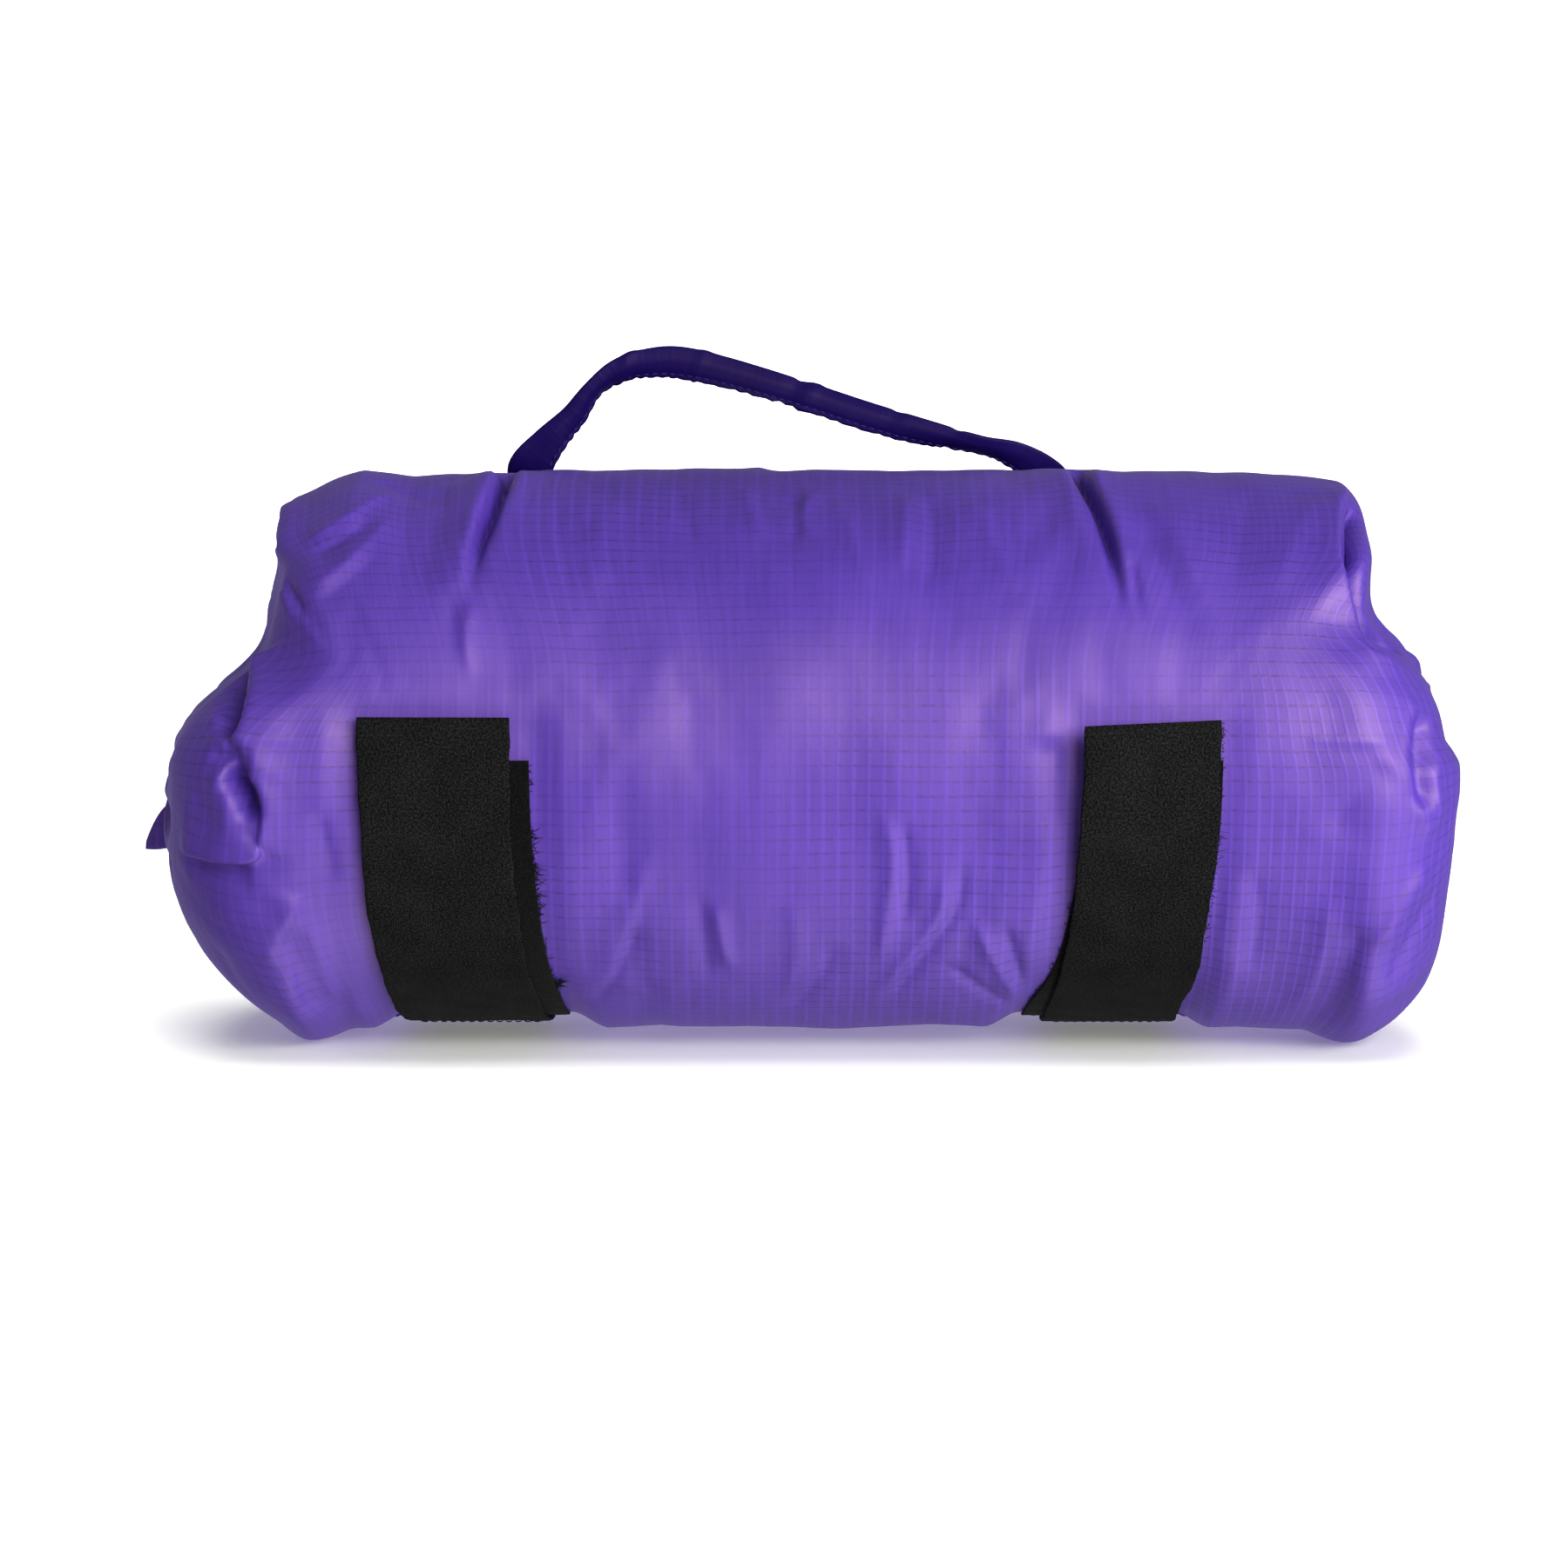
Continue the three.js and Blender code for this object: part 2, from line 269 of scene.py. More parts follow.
def ripstop(name, deep, mid, light, gloss, grid=1.0):
    """Satin ripstop nylon: a fine plain weave with a raised thread every 5 mm both ways."""
    n = Nodes(name)
    along, around = n.cloth_coordinates()
    place = n.place()
    uv = n.join(along, around)
    wander = n.times(n.math("SUBTRACT", n.noise(place, 14.0), 0.5), 1.6 * MM)
    ribs = n.line(n.plus(along, wander), RIPSTOP_CELL, 0.55 * MM)
    bars = n.line(n.plus(around, wander), RIPSTOP_CELL, 0.4 * MM)
    # The threads that run along the sack show as dashes, and fade in and out over its surface.
    dash = n.remap(n.noise(uv, 420.0, 1.0), 0.4, 0.62)
    patch = n.remap(n.noise(place, 11.0, 2.0), 0.36, 0.62, 0.2, 1.0)
    bars_seen = n.times(n.times(bars, n.remap(dash, 0, 1, 0.4, 1.0)), patch)
    ribs_seen = n.times(ribs, n.remap(n.noise(place, 9.0, 2.0), 0.4, 0.66, 0.25, 1.0))
    stretched = n.join(along, n.times(around, 0.06))
    streaks = n.remap(n.noise(stretched, 700.0, 2.0), 0.35, 0.7, 0.0, 0.3)
    grain = n.remap(n.noise(uv, 1500.0, 2.0, 0.7), 0.35, 0.7, 0.0, 0.22)
    shade = n.remap(n.noise(place, 7.0, 4.0, 0.6), 0.3, 0.7)
    base = n.mix(shade, mid, light)
    base = n.mix(n.remap(n.noise(place, 30.0, 3.0), 0.35, 0.75, 0.0, 0.25), base, deep)
    base = n.mix(n.math("MAXIMUM", streaks, grain), base, deep)
    base = n.mix(n.times(bars_seen, 0.6 * grid), base, deep)
    base = n.mix(n.times(ribs_seen, 0.22 * grid), base, tuple(1.6 * c for c in light[:3]) + (1,))
    weave = n.noise(uv, 2600.0, 1.0)
    height = n.plus(n.times(weave, 0.35), n.math("MAXIMUM", bars_seen, ribs_seen))
    soft = n.bump(n.noise(place, 55.0, 3.0), 1.0 * MM, 0.2)
    normal = n.bump(height, 0.12 * MM, 0.4, soft)
    roughness = n.remap(n.noise(place, 24.0, 3.0), 0.3, 0.7, 0.48, 0.6)
    return n.finish(base, roughness, normal, Specular_IOR_Level=gloss, Specular_Tint=(1, 0.64, 0.6, 1))


def webbing(name, dark, light, thread, bump_depth):
    """Black tape woven on the slant from fine threads."""
    n = Nodes(name)
    along, around = n.cloth_coordinates()
    uv = n.join(along, around)
    slant_a = n.plus(along, n.times(around, 0.6))
    slant_b = n.math("SUBTRACT", around, n.times(along, 0.6))
    rows = n.math("SINE", n.times(slant_a, 2 * math.pi / thread))
    columns = n.math("SINE", n.times(slant_b, 2 * math.pi / thread))
    weave = n.times(rows, columns)
    grain = n.noise(uv, 1350.0, 2.0, 0.8)
    height = n.plus(n.times(weave, 0.5), grain)
    speckle = n.plus(n.times(weave, 0.12), grain)
    worn = n.remap(n.noise(uv, 60.0, 3.0), 0.3, 0.7, 0.0, 0.06)
    color = n.mix(n.remap(n.plus(speckle, worn), 0.46, 0.7), dark, light)
    roughness = n.remap(grain, 0.2, 0.8, 0.7, 0.92)
    return n.finish(color, roughness, n.bump(height, bump_depth, 0.8), Specular_IOR_Level=0.06)


def fuzz(name, dark, light, scale):
    """Loop or hook pile: speckled and rough."""
    n = Nodes(name)
    place = n.place()
    cells = n.add("TexVoronoi", {"Vector": place, "Scale": scale}).outputs["Distance"]
    tufts = n.math("SUBTRACT", 1.0, cells)
    speckle = n.times(tufts, n.noise(place, scale * 0.6, 3.0, 0.7))
    color = n.mix(n.remap(speckle, 0.25, 0.6), dark, light)
    return n.finish(
        color, 0.95, n.bump(speckle, 0.6 * MM), Sheen_Weight=0.02, Sheen_Roughness=0.6, Specular_IOR_Level=0.1
    )


def twisted_thread(name, dark, light):
    """Sewing thread, with its twist."""
    n = Nodes(name)
    inputs = {"Vector": n.place(), "Scale": 900.0, "Distortion": 2.0}
    turns = n.add("TexWave", inputs, bands_direction="DIAGONAL").outputs["Fac"]
    return n.finish(n.mix(turns, dark, light), 0.55, n.bump(turns, 0.1 * MM, 0.6), Specular_IOR_Level=0.2)


def plain_cloth(name, dark, light):
    """Soft brushed cloth of what the sack holds."""
    n = Nodes(name)
    nap = n.noise(n.place(), 400.0, 4.0, 0.7)
    return n.finish(n.mix(nap, dark, light), 0.9, n.bump(nap, 0.4 * MM, 0.7), Sheen_Weight=0.4)


def wall_material():
    n = Nodes("white_backdrop")
    return n.finish((0.9, 0.9, 0.9, 1), 0.9, Emission_Color=(1, 1, 1, 1), Emission_Strength=1.0)


def floor_material():
    n = Nodes("pale_floor")
    color = n.mix(n.noise(n.place(), 3.0, 2.0), (0.925, 0.93, 0.885, 1), (0.945, 0.95, 0.905, 1))
    return n.finish(
        color, 0.9, Specular_IOR_Level=0.1, Emission_Color=(1, 1, 0.9, 1), Emission_Strength=0.1
    )


SACK_CLOTH = ripstop(
    "sack_ripstop", (0.02, 0.007, 0.15, 1), (0.064, 0.025, 0.33, 1), (0.085, 0.036, 0.4, 1), gloss=0.9
)
# Painted shade: the handle is the sack's own ripstop, given much darker colours that stand in for the shade
# it lies in.
HANDLE_CLOTH_PAINTED_SHADE = ripstop(
    "handle_ripstop_painted_shade", (0.002, 0.0007, 0.025, 1), (0.005, 0.0016, 0.06, 1), (0.01, 0.0036, 0.095, 1),
    gloss=0.12, grid=0.3,
)
STRAP_WEAVE = webbing(
    "strap_weave", (0.0006, 0.0006, 0.0006, 1), (0.02, 0.02, 0.0195, 1), thread=0.9 * MM, bump_depth=0.25 * MM
)
LOOP_PILE = fuzz("loop_pile", (0.0008, 0.0008, 0.0008, 1), (0.008, 0.008, 0.008, 1), 1400.0)
HOOK_PILE = fuzz("hook_pile", (0.0015, 0.0015, 0.0015, 1), (0.012, 0.012, 0.012, 1), 900.0)
PURPLE_THREAD = twisted_thread("purple_thread", (0.016, 0.006, 0.09, 1), (0.045, 0.02, 0.2, 1))
BLACK_THREAD = twisted_thread("black_thread", (0.001, 0.001, 0.001, 1), (0.008, 0.008, 0.008, 1))
LOAD_CLOTH = plain_cloth("load_cloth", (0.08, 0.05, 0.2, 1), (0.14, 0.1, 0.3, 1))


# ---- The sack's skin ----
# Sizes here are in millimetres, with x from the middle of the roll and z from the ground.
WALL_SHARE = 0.66  # of each half of the skin's rows, up to the corner
CORNER_SHARE = 0.8  # the same, up to the end's face
CORNER = 30  # the radius of the turn from the wall to the end
TOP_CORNER = 7  # the same along the top
PINCH_DEPTH, PINCH_WIDTH = 10, 20  # the hollow at the middle of each end
FLOOR_SOFTNESS = 3.0
CROWN_SETTLE = 0.03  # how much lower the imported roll's top lies than a round one's
BELLY_SAG = 0.014  # how much lower its underside lies
FOOT_SWELL = 0.1  # how much wider each end's lower corner is
END_DOME = 9.0  # how far each end draws back towards its front and back edges

ENDS = {
    # Each end's outline from the front, as heights and how far it reaches from the middle there, then how far
    # its upper edge drops, as places from the middle and drops, and where the swelling of its foot begins and
    # ends.
    -1: {
        "heights": [0, 6, 16, 28, 40, 52, 64, 88, 99, 107, 115, 123, 130, 137, 150, 172, 184, 200],
        "reach": [
            184.5, 187, 192, 202.5, 211, 217.5, 219.5, 219.5, 219.5, 217, 211.5, 202.5, 192, 186.5, 184,
            180.5, 183.5, 182.5,
        ],
        "places": [110, 126, 137, 146, 155, 163, 173, 184],
        "drops": [0, 1.2, 2.4, 1.4, 0.4, 3.2, 8.8, 12.4],
        "foot": (158, 176),
    },
    1: {
        "heights": [0, 6, 16, 28, 40, 52, 64, 76, 88, 99, 106, 112, 124, 134, 141, 148, 160, 172, 184, 200],
        "reach": [
            193, 199, 205, 210.5, 213.5, 215, 216.5, 218, 219, 218.5, 214.5, 212.5, 208.5, 200.5, 191.5,
            186.5, 186.5, 188.5, 186.5, 184,
        ],
        "places": [130, 150, 170, 180, 185, 190],
        "drops": [0, 0.8, 3.2, 5.0, 7.0, 10.0],
        "foot": (166, 186),
    },
}


def skin_shape(rows, columns):
    """Points and cloth coordinates of the skin, row by row from the left pole to the right one."""
    radius, half, axis_z = ROLL, HALF_LENGTH / MM, AXIS_Z / MM
    s = np.linspace(-1, 1, rows)[:, None]
    phi = np.linspace(0, 2 * math.pi, columns, endpoint=False)[None, :]  # from the top, over the front
    up, front = np.cos(phi), np.sin(phi)
    corner = mix(CORNER, TOP_CORNER, smoothstep(up, 0.3, 0.85))
    a = np.abs(s)
    turn = np.clip((a - WALL_SHARE) / (CORNER_SHARE - WALL_SHARE), 0, 1) * math.pi / 2
    face = np.clip((a - CORNER_SHARE) / (1 - CORNER_SHARE), 0, 1)
    wall = np.clip(a / WALL_SHARE, 0, 1)
    x = wall * (half - corner) + corner * np.sin(turn)
    r = (radius - corner + corner * np.cos(turn)) * (1 - face)
    y = -r * front
    z_rel = r * up
    near_end = smoothstep(x, 120, half)
    # The middle of each face is pinched in, and the face bulges towards its front and back.
    x = x - PINCH_DEPTH * np.exp(-((r / PINCH_WIDTH) ** 2)) * smoothstep(a, CORNER_SHARE, 1)
    x = x - END_DOME * near_end * (y / radius) ** 2
    crown, belly = CROWN_SETTLE * smoothstep(z_rel, 0, radius), BELLY_SAG * smoothstep(-z_rel, 30, radius)
    z = axis_z + z_rel * (1 - crown + belly)
    for side, end in ENDS.items():
        here = np.sign(s) == side
        draw = half - np.interp(z, end["heights"], end["reach"])
        x = np.where(here, x - draw * near_end, x)
        drop = np.interp(x, end["places"], end["drops"]) * smoothstep(z_rel, 40, 90)
        swell = FOOT_SWELL * smoothstep(x, *end["foot"]) * smoothstep(-z_rel, 20, 80)
        z = np.where(here, z + z_rel * swell - drop, z)
        y = np.where(here, y * (1 + swell), y)
    x = x * np.sign(s)
    pressed = FLOOR_SOFTNESS * np.exp((z - FLOOR_SOFTNESS) / FLOOR_SOFTNESS)
    z = np.where(z < FLOOR_SOFTNESS, pressed, z)
    points = np.stack([x, y, z], axis=-1)
    arc = np.sign(s) * (wall * (half - CORNER) + CORNER * turn + face * (radius - CORNER)) + 0 * phi
    round_about = radius * phi + 0 * s
    return points, np.stack([arc, round_about], axis=-1)


def place(points):
    """From millimetres about the roll's middle to the frame."""
    return np.asarray(points, float) * MM + np.array([MIDDLE_X, AXIS_Y, 0])


def close_skin(points):
    """The points of skin_shape's inner rows and then its two poles, and the faces that join them."""
    rows, columns = points.shape[:2]
    left = (rows - 2) * columns
    last = left - columns
    faces = grid_faces(rows - 2, columns, wrap=True)
    for c in range(columns):
        following = (c + 1) % columns
        faces += [(left, following, c), (left + 1, last + c, last + following)]
    return np.vstack([points[1:-1].reshape(-1, 3), points[0].mean(axis=0), points[-1].mean(axis=0)]), faces


def build_skin(rows=129, columns=144):
    points, cloth = skin_shape(rows, columns)
    all_points, faces = close_skin(points)
    arc = cloth[:, 0, 0]
    cell = ROLL * 2 * math.pi / columns
    uv = [
        (arc[r + dr], cell * (c + dc))
        for r in range(1, rows - 2)
        for c in range(columns)
        for dr, dc in QUAD
    ]
    for c in range(columns):
        uv += [(arc[0], cell * (c + 0.5)), (arc[1], cell * (c + 1)), (arc[1], cell * c)]
        uv += [(arc[-1], cell * (c + 0.5)), (arc[-2], cell * c), (arc[-2], cell * (c + 1))]
    return make_mesh("sack_skin", place(all_points), faces, SACK_CLOTH, np.array(uv) * MM)


# ---- Folds ----
def seen_from_camera(x, z):
    """A ray from the camera's place through a point of the plane through the roll's axis, in millimetres."""
    through = Vector((x * MM + MIDDLE_X, AXIS_Y, z * MM))
    return CAMERA_PLACE, through - CAMERA_PLACE


def seen_from_behind(x, z):
    through = Vector((x * MM + MIDDLE_X, AXIS_Y, z * MM))
    return through + Vector((0, 1, 0)), Vector((0, -1, 0))


def curve_through(points, steps_per_span=8):
    """A smooth line through points of any dimension (Catmull-Rom)."""
    p = np.asarray(points, float)
    padded = np.vstack([2 * p[0] - p[1], p, 2 * p[-1] - p[-2]])
    out = []
    for a, b, c, d in zip(padded, padded[1:], padded[2:], padded[3:]):
        square, cube = 2 * a - 5 * b + 4 * c - d, 3 * b - a - 3 * c + d
        for t in np.linspace(0, 1, steps_per_span, endpoint=False):
            out.append(0.5 * (2 * b + (c - a) * t + square * t**2 + cube * t**3))
    return np.array(out + [p[-1]])


END_ZONE = (180, 196)  # how far from the middle the smoother ends begin


class Sculptor:
    """Gathers folds on a mesh as moves of its points, then makes them all at once."""

    def __init__(self, mesh):
        self.mesh = mesh
        self.points = get_points(mesh)
        self.normals = get_normals(mesh)
        self.moves = np.zeros_like(self.points)
        polygons = [tuple(p.vertices) for p in mesh.polygons]
        self.tree = BVHTree.FromPolygons([Vector(p) for p in self.points], polygons)

    def on_surface(self, line, view):
        hits = []
        for point in line:
            origin, direction = view(*point)
            along = direction.normalized()
            hit = self.tree.ray_cast(origin, along)[0]
            if hit is None:
                middle = Vector((MIDDLE_X, AXIS_Y, AXIS_Z))
                closest = origin + along * (middle - origin).dot(along)
                hit = self.tree.find_nearest(closest)[0]
            hits.append(hit)
        return np.array(hits)

    def fold(
        self, line, height, widths, view=seen_from_camera, fade=(0.2, 0.3), strength=(1, 1), power=1.3,
        lean=0.0,
    ):
        """A ridge, or with a negative height a valley, along a line. Its two sides have their own widths,
        the first to the left of the line's direction. It fades over the given shares of its length at each
        end, and strength scales it at its start and at its end. A low power makes it sharp, and lean carries
        it over to the right of the line."""
        path = self.on_surface(curve_through(line), view)
        lengths = np.linalg.norm(np.diff(path, axis=0), axis=1)
        reached = np.concatenate([[0], np.cumsum(lengths)]) / max(lengths.sum(), 1e-9)
        reach = 3.5 * max(widths) * MM
        low, high = path.min(axis=0) - reach, path.max(axis=0) + reach
        chosen = np.nonzero(np.all((self.points > low) & (self.points < high), axis=1))[0]
        p = self.points[chosen]
        best = np.full(len(chosen), np.inf)
        t_best = np.zeros(len(chosen))
        sideways = np.zeros((len(chosen), 3))
        side = np.zeros(len(chosen))
        for i, (a, b) in enumerate(zip(path, path[1:])):
            span = b - a
            size = span @ span
            if size < 1e-14:
                continue
            t = np.clip(((p - a) @ span) / size, 0, 1)
            off = p - (a + t[:, None] * span)
            distance = np.linalg.norm(off, axis=1)
            closer = distance < best
            best = np.where(closer, distance, best)
            t_best = np.where(closer, mix(reached[i], reached[i + 1], t), t_best)
            to_right = np.cross(np.broadcast_to(span / math.sqrt(size), off.shape), self.normals[chosen])
            side = np.where(closer, -np.einsum("ij,ij->i", to_right, off), side)
            sideways = np.where(closer[:, None], to_right, sideways)
        width = mix(widths[1], widths[0], smoothstep(side / MM, -1.0, 1.0)) * MM
        envelope = smoothstep(t_best, -1e-6, fade[0]) * (1 - smoothstep(t_best, 1 - fade[1], 1))
        envelope = envelope * mix(*strength, t_best)
        shape = (envelope * np.exp(-((best / width) ** power)))[:, None]
        self.moves[chosen] += shape * (self.normals[chosen] * height + sideways * lean) * MM

    def add(self, heights):
        self.moves += self.normals * heights[:, None]

    def finish(self, allow):
        """Makes the moves, each averaged with its neighbours': twice, and twice more at the ends. allow
        scales them."""
        edges = np.empty(len(self.mesh.edges) * 2, dtype=np.int64)
        self.mesh.edges.foreach_get("vertices", edges)
        a, b = edges[0::2], edges[1::2]
        count = len(self.points)
        neighbours = np.bincount(a, minlength=count) + np.bincount(b, minlength=count)
        ends = smoothstep(np.abs(self.points[:, 0] - MIDDLE_X) / MM, *END_ZONE)
        for share in (1, 1, ends, ends):
            for axis in range(3):
                move = self.moves[:, axis]
                total = np.bincount(a, move[b], count) + np.bincount(b, move[a], count)
                self.moves[:, axis] = move + share * (total / neighbours - move) / 2
        set_points(self.mesh, self.points + self.moves * allow[:, None])


def noise_field(points, scale, offset=(0, 0, 0), octaves=3):
    """Smooth noise about zero at points in metres; scale is a size in millimetres for each axis."""
    scaled = points / (np.array(scale) * MM) + np.array(offset)
    return np.array([noise.fractal(Vector(p), 0.9, 2.0, octaves) for p in scaled])


# ---- Straps, as places on the roll ----
STRAPS = {
    # x is where its middle lies at the front. The runs give how far it strays from there, and the loop strip
    # from it, at angles below the front in degrees. tip is its slanted upper edge's angle on its left and
    # right, and stand_off how far the two sides stand off the roll there.
    "left": {
        "x": -125.0, "width": 49.6, "tip": (-9.3, -9.3), "loop_top": -1.0, "stand_off": (1.6, 0.4),
        "run": ([-10, 0, 12, 24, 38, 53, 62, 80, 112], [-0.5, -0.3, 0, 0.9, 2.8, 5.6, 7.2, 10, 11]),
        "loop_run": ([0, 60, 80], [6.3, 7.2, 7.0]),
    },
    "right": {
        "x": 110.6, "width": 45.6, "tip": (-7.4, -8.8), "loop_top": -1.0, "stand_off": (7.5, 0.8),
        "run": ([-10, 12, 30, 53, 64, 80, 112], [0, -0.9, -3.1, -6.5, -9.3, -10, -9]),
        "loop_run": ([20, 34, 46, 62, 80], [0.8, -0.2, -1.8, -5.5, -7.5]),
    },
}
STRAP_TIP = -10.0
STRAP_END = 112.0
# Where the layers lie, in millimetres out from the roll's radius.
SKIN_UNDER_TAPE = -2.0
LOOP_LAYER = (-1.9, -0.6)
HOOK_LAYER = (-0.5, 0.3)
STRAP_LAYER = (0.35, 1.75)
BELLY_LIFT = -2.2  # the straps hold the roll's belly in by this much


def settled_belly(angles):
    return BELLY_LIFT * smoothstep(angles, 42, 66)


def strap_middle(strap, angles):
    return strap["x"] + smooth_table(angles, strap["run"])


def loop_middle(strap, angles):
    return strap_middle(strap, angles) + smooth_table(angles, strap["loop_run"])


def smooth_table(values, table):
    """Reads a table of places and amounts, rounding its corners off."""
    values = np.asarray(values, float)
    return sum(np.interp(values + step, *table) for step in (-6, -4, -2, 0, 2, 4, 6)) / 7


def under_straps(points, beside=13):
    """1 where a strap presses on the skin, fading to 0 beside it, over some millimetres."""
    x = (points[:, 0] - MIDDLE_X) / MM
    z = (points[:, 2] - AXIS_Z) / MM
    y = (points[:, 1] - AXIS_Y) / MM
    below = np.degrees(np.arctan2(-z, -y))  # degrees below the front
    total = np.zeros(len(points))
    for strap in STRAPS.values():
        middles = np.stack([strap_middle(strap, below), loop_middle(strap, below)])
        half = strap["width"] / 2
        outside = np.maximum(middles.min(axis=0) - half - x, x - middles.max(axis=0) - half)
        band = 1 - smoothstep(outside, 0, beside)
        reach = smoothstep(below, STRAP_TIP - 6, STRAP_TIP + 4)
        reach = reach * (1 - smoothstep(below, STRAP_END, STRAP_END + 12))
        total = np.maximum(total, band * reach)
    return total


GATHER_HEIGHT, GATHER_FINE = 2.6, 0.8


def gather_folds(sculptor):
    """Radial folds where each end's cloth is drawn in towards its middle."""
    p = sculptor.points
    x = (p[:, 0] - MIDDLE_X) / MM
    y = (p[:, 1] - AXIS_Y) / MM
    z = (p[:, 2] - AXIS_Z) / MM
    r = np.hypot(y, z)
    angle = np.arctan2(z, y)
    outwards = np.abs(sculptor.normals[:, 0])
    heights = np.zeros(len(p))
    for side, waves, seed in ((-1, 9, 3.1), (1, 10, 8.4)):
        twist = 0.5 * np.sin(r / 26 + seed)
        drift = 0.6 * np.sin(2 * angle + seed) + 0.4 * np.sin(3 * angle + 2.3 * seed)
        wave = np.sin(waves * (angle + twist) + 1.8 * drift)
        fine = np.sin((2.6 * waves) * (angle + 0.6 * twist) + 2.7 * drift)
        ridges = 1 - 2 * np.abs(wave) ** 0.8
        envelope = smoothstep(outwards, 0.25, 0.85) * smoothstep(r, 6, 26)
        here = (np.sign(x) == side) & (np.abs(x) > 120)
        fade = 1 - smoothstep(r, 40, 76)
        uneven = 0.65 + 0.35 * np.sin(3 * angle + seed)
        flat = 1 - 0.85 * smoothstep(np.sin(angle), 0.7, 0.92) * smoothstep(r, 20, 34)
        shape = (GATHER_HEIGHT * ridges * uneven + GATHER_FINE * fine) * fade * flat
        heights += np.where(here, shape * envelope, 0)
    sculptor.add(heights * MM)


# Each fold: its line as (x, z) seen from the camera, its height, its two sides' widths, and any options.
HANDLE_PLEATS = [
    ([(-103, 199), (-108, 188), (-113, 176), (-116.6, 164), (-118, 150)],
     -11, (1.4, 2.2), {"fade": (0.1, 0.5), "power": 1.6}),
    ([(-108, 199), (-115, 186), (-120, 172), (-122.5, 158), (-122.5, 136)],
     3.4, (3, 8), {"fade": (0.3, 0.5), "lean": -1.6}),
    ([(-100, 198), (-105, 182), (-110, 166), (-113, 146)], 1.5, (8, 2.2), {"fade": (0.2, 0.6)}),
    ([(-118, 152), (-120, 138), (-118, 120)], 1.4, (1.8, 1.8), {"fade": (0.3, 0.5)}),
    ([(-122, 160), (-124.5, 146), (-124, 128)], -0.8, (3, 3), {"fade": (0.4, 0.5)}),
    ([(-127, 190), (-132, 170), (-135, 150)], -1.2, (6, 6), {"fade": (0.2, 0.5)}),
    ([(88, 199), (93.5, 189), (98.5, 180), (102, 168), (104.5, 154), (106, 142)],
     -10, (2.0, 1.4), {"fade": (0.1, 0.45), "power": 1.6}),
    ([(92.5, 199), (98.5, 188), (104, 175), (108, 160), (112, 140)],
     3.2, (7, 2.4), {"fade": (0.3, 0.5), "lean": 1.4}),
    ([(109, 168), (110.5, 156), (113.5, 142)], -2.2, (1.4, 1.4), {"fade": (0.3, 0.5)}),
    ([(84, 197), (90, 181), (95, 162), (98, 142)], 1.6, (2.4, 8), {"fade": (0.2, 0.6)}),
    ([(109.7, 181), (121, 160), (133.7, 135)], -2.2, (8, 7), {"fade": (0.3, 0.5)}),
    ([(116, 186), (128, 164), (140, 140)], 1.6, (8, 7), {"fade": (0.3, 0.5)}),
]
TOP_WRINKLES = [
    ([(-46, 190), (-43, 176), (-38, 168)], -0.9, (2.7, 4.5)),
    ([(-24, 190), (-20, 178), (-14, 170)], 1.12, (2.2, 3.6)),
    ([(-8, 188), (-6, 178), (-9, 168)], -1.27, (2.7, 2.2)),
    ([(1, 189), (-4, 180), (0, 170)], 1.42, (2.2, 2.7)),
    ([(8, 186), (13, 170), (20, 152)], 0.9, (3.6, 3.6)),
    ([(32, 188), (31, 172), (29, 158)], 1.35, (2.7, 3.6)),
    ([(40, 188), (41, 170), (38, 150)], -1.42, (3.6, 2.7)),
    ([(54, 186), (62, 170), (70, 150)], 0.98, (4.5, 4.5)),
    ([(-70, 186), (-74, 168), (-73, 148)], 0.83, (4.5, 5.4)),
    ([(-88, 186), (-86, 170), (-82, 150)], -0.68, (4.5, 4.5)),
]
FOOT_WRINKLES = [
    ([(-56, 66), (-63, 42), (-71, 20), (-78, 10)], 1.66, (2.4, 5.6), {"strength": (0.5, 1)}),
    ([(-60, 40), (-70, 18), (-80, 8)], -1.4, (2.4, 3.2)),
    ([(-34, 46), (-32, 34), (-29, 22)], 1.4, (1.9, 2.4)),
    ([(-40, 50), (-38, 34), (-36, 18)], -0.89, (3.2, 3.2)),
    ([(24, 80), (27, 62), (25, 40), (22, 22)], 1.46, (2.4, 2.8)),
    ([(30.5, 76), (32.6, 57), (31, 36)], -1.46, (2.4, 3.2)),
    ([(51.5, 64), (49, 44), (38, 28), (25, 9)], -1.66, (2.8, 3.2)),
    ([(45, 58), (43, 42), (33, 28), (20, 12)], 1.4, (3.2, 2.4)),
    ([(54, 44), (63, 24), (74, 6)], 1.78, (2.4, 2.4), {"strength": (0.6, 1)}),
    ([(66, 40), (70, 24), (75, 8)], -1.66, (2, 2)),
    ([(44, 26), (60, 14), (76, 4)], -1.4, (2.4, 2.4)),
    ([(-8, 50), (-6, 30), (-10, 12)], 0.77, (4, 4)),
    ([(8, 34), (2, 20), (-8, 8)], -0.95, (3.2, 3.2)),
]
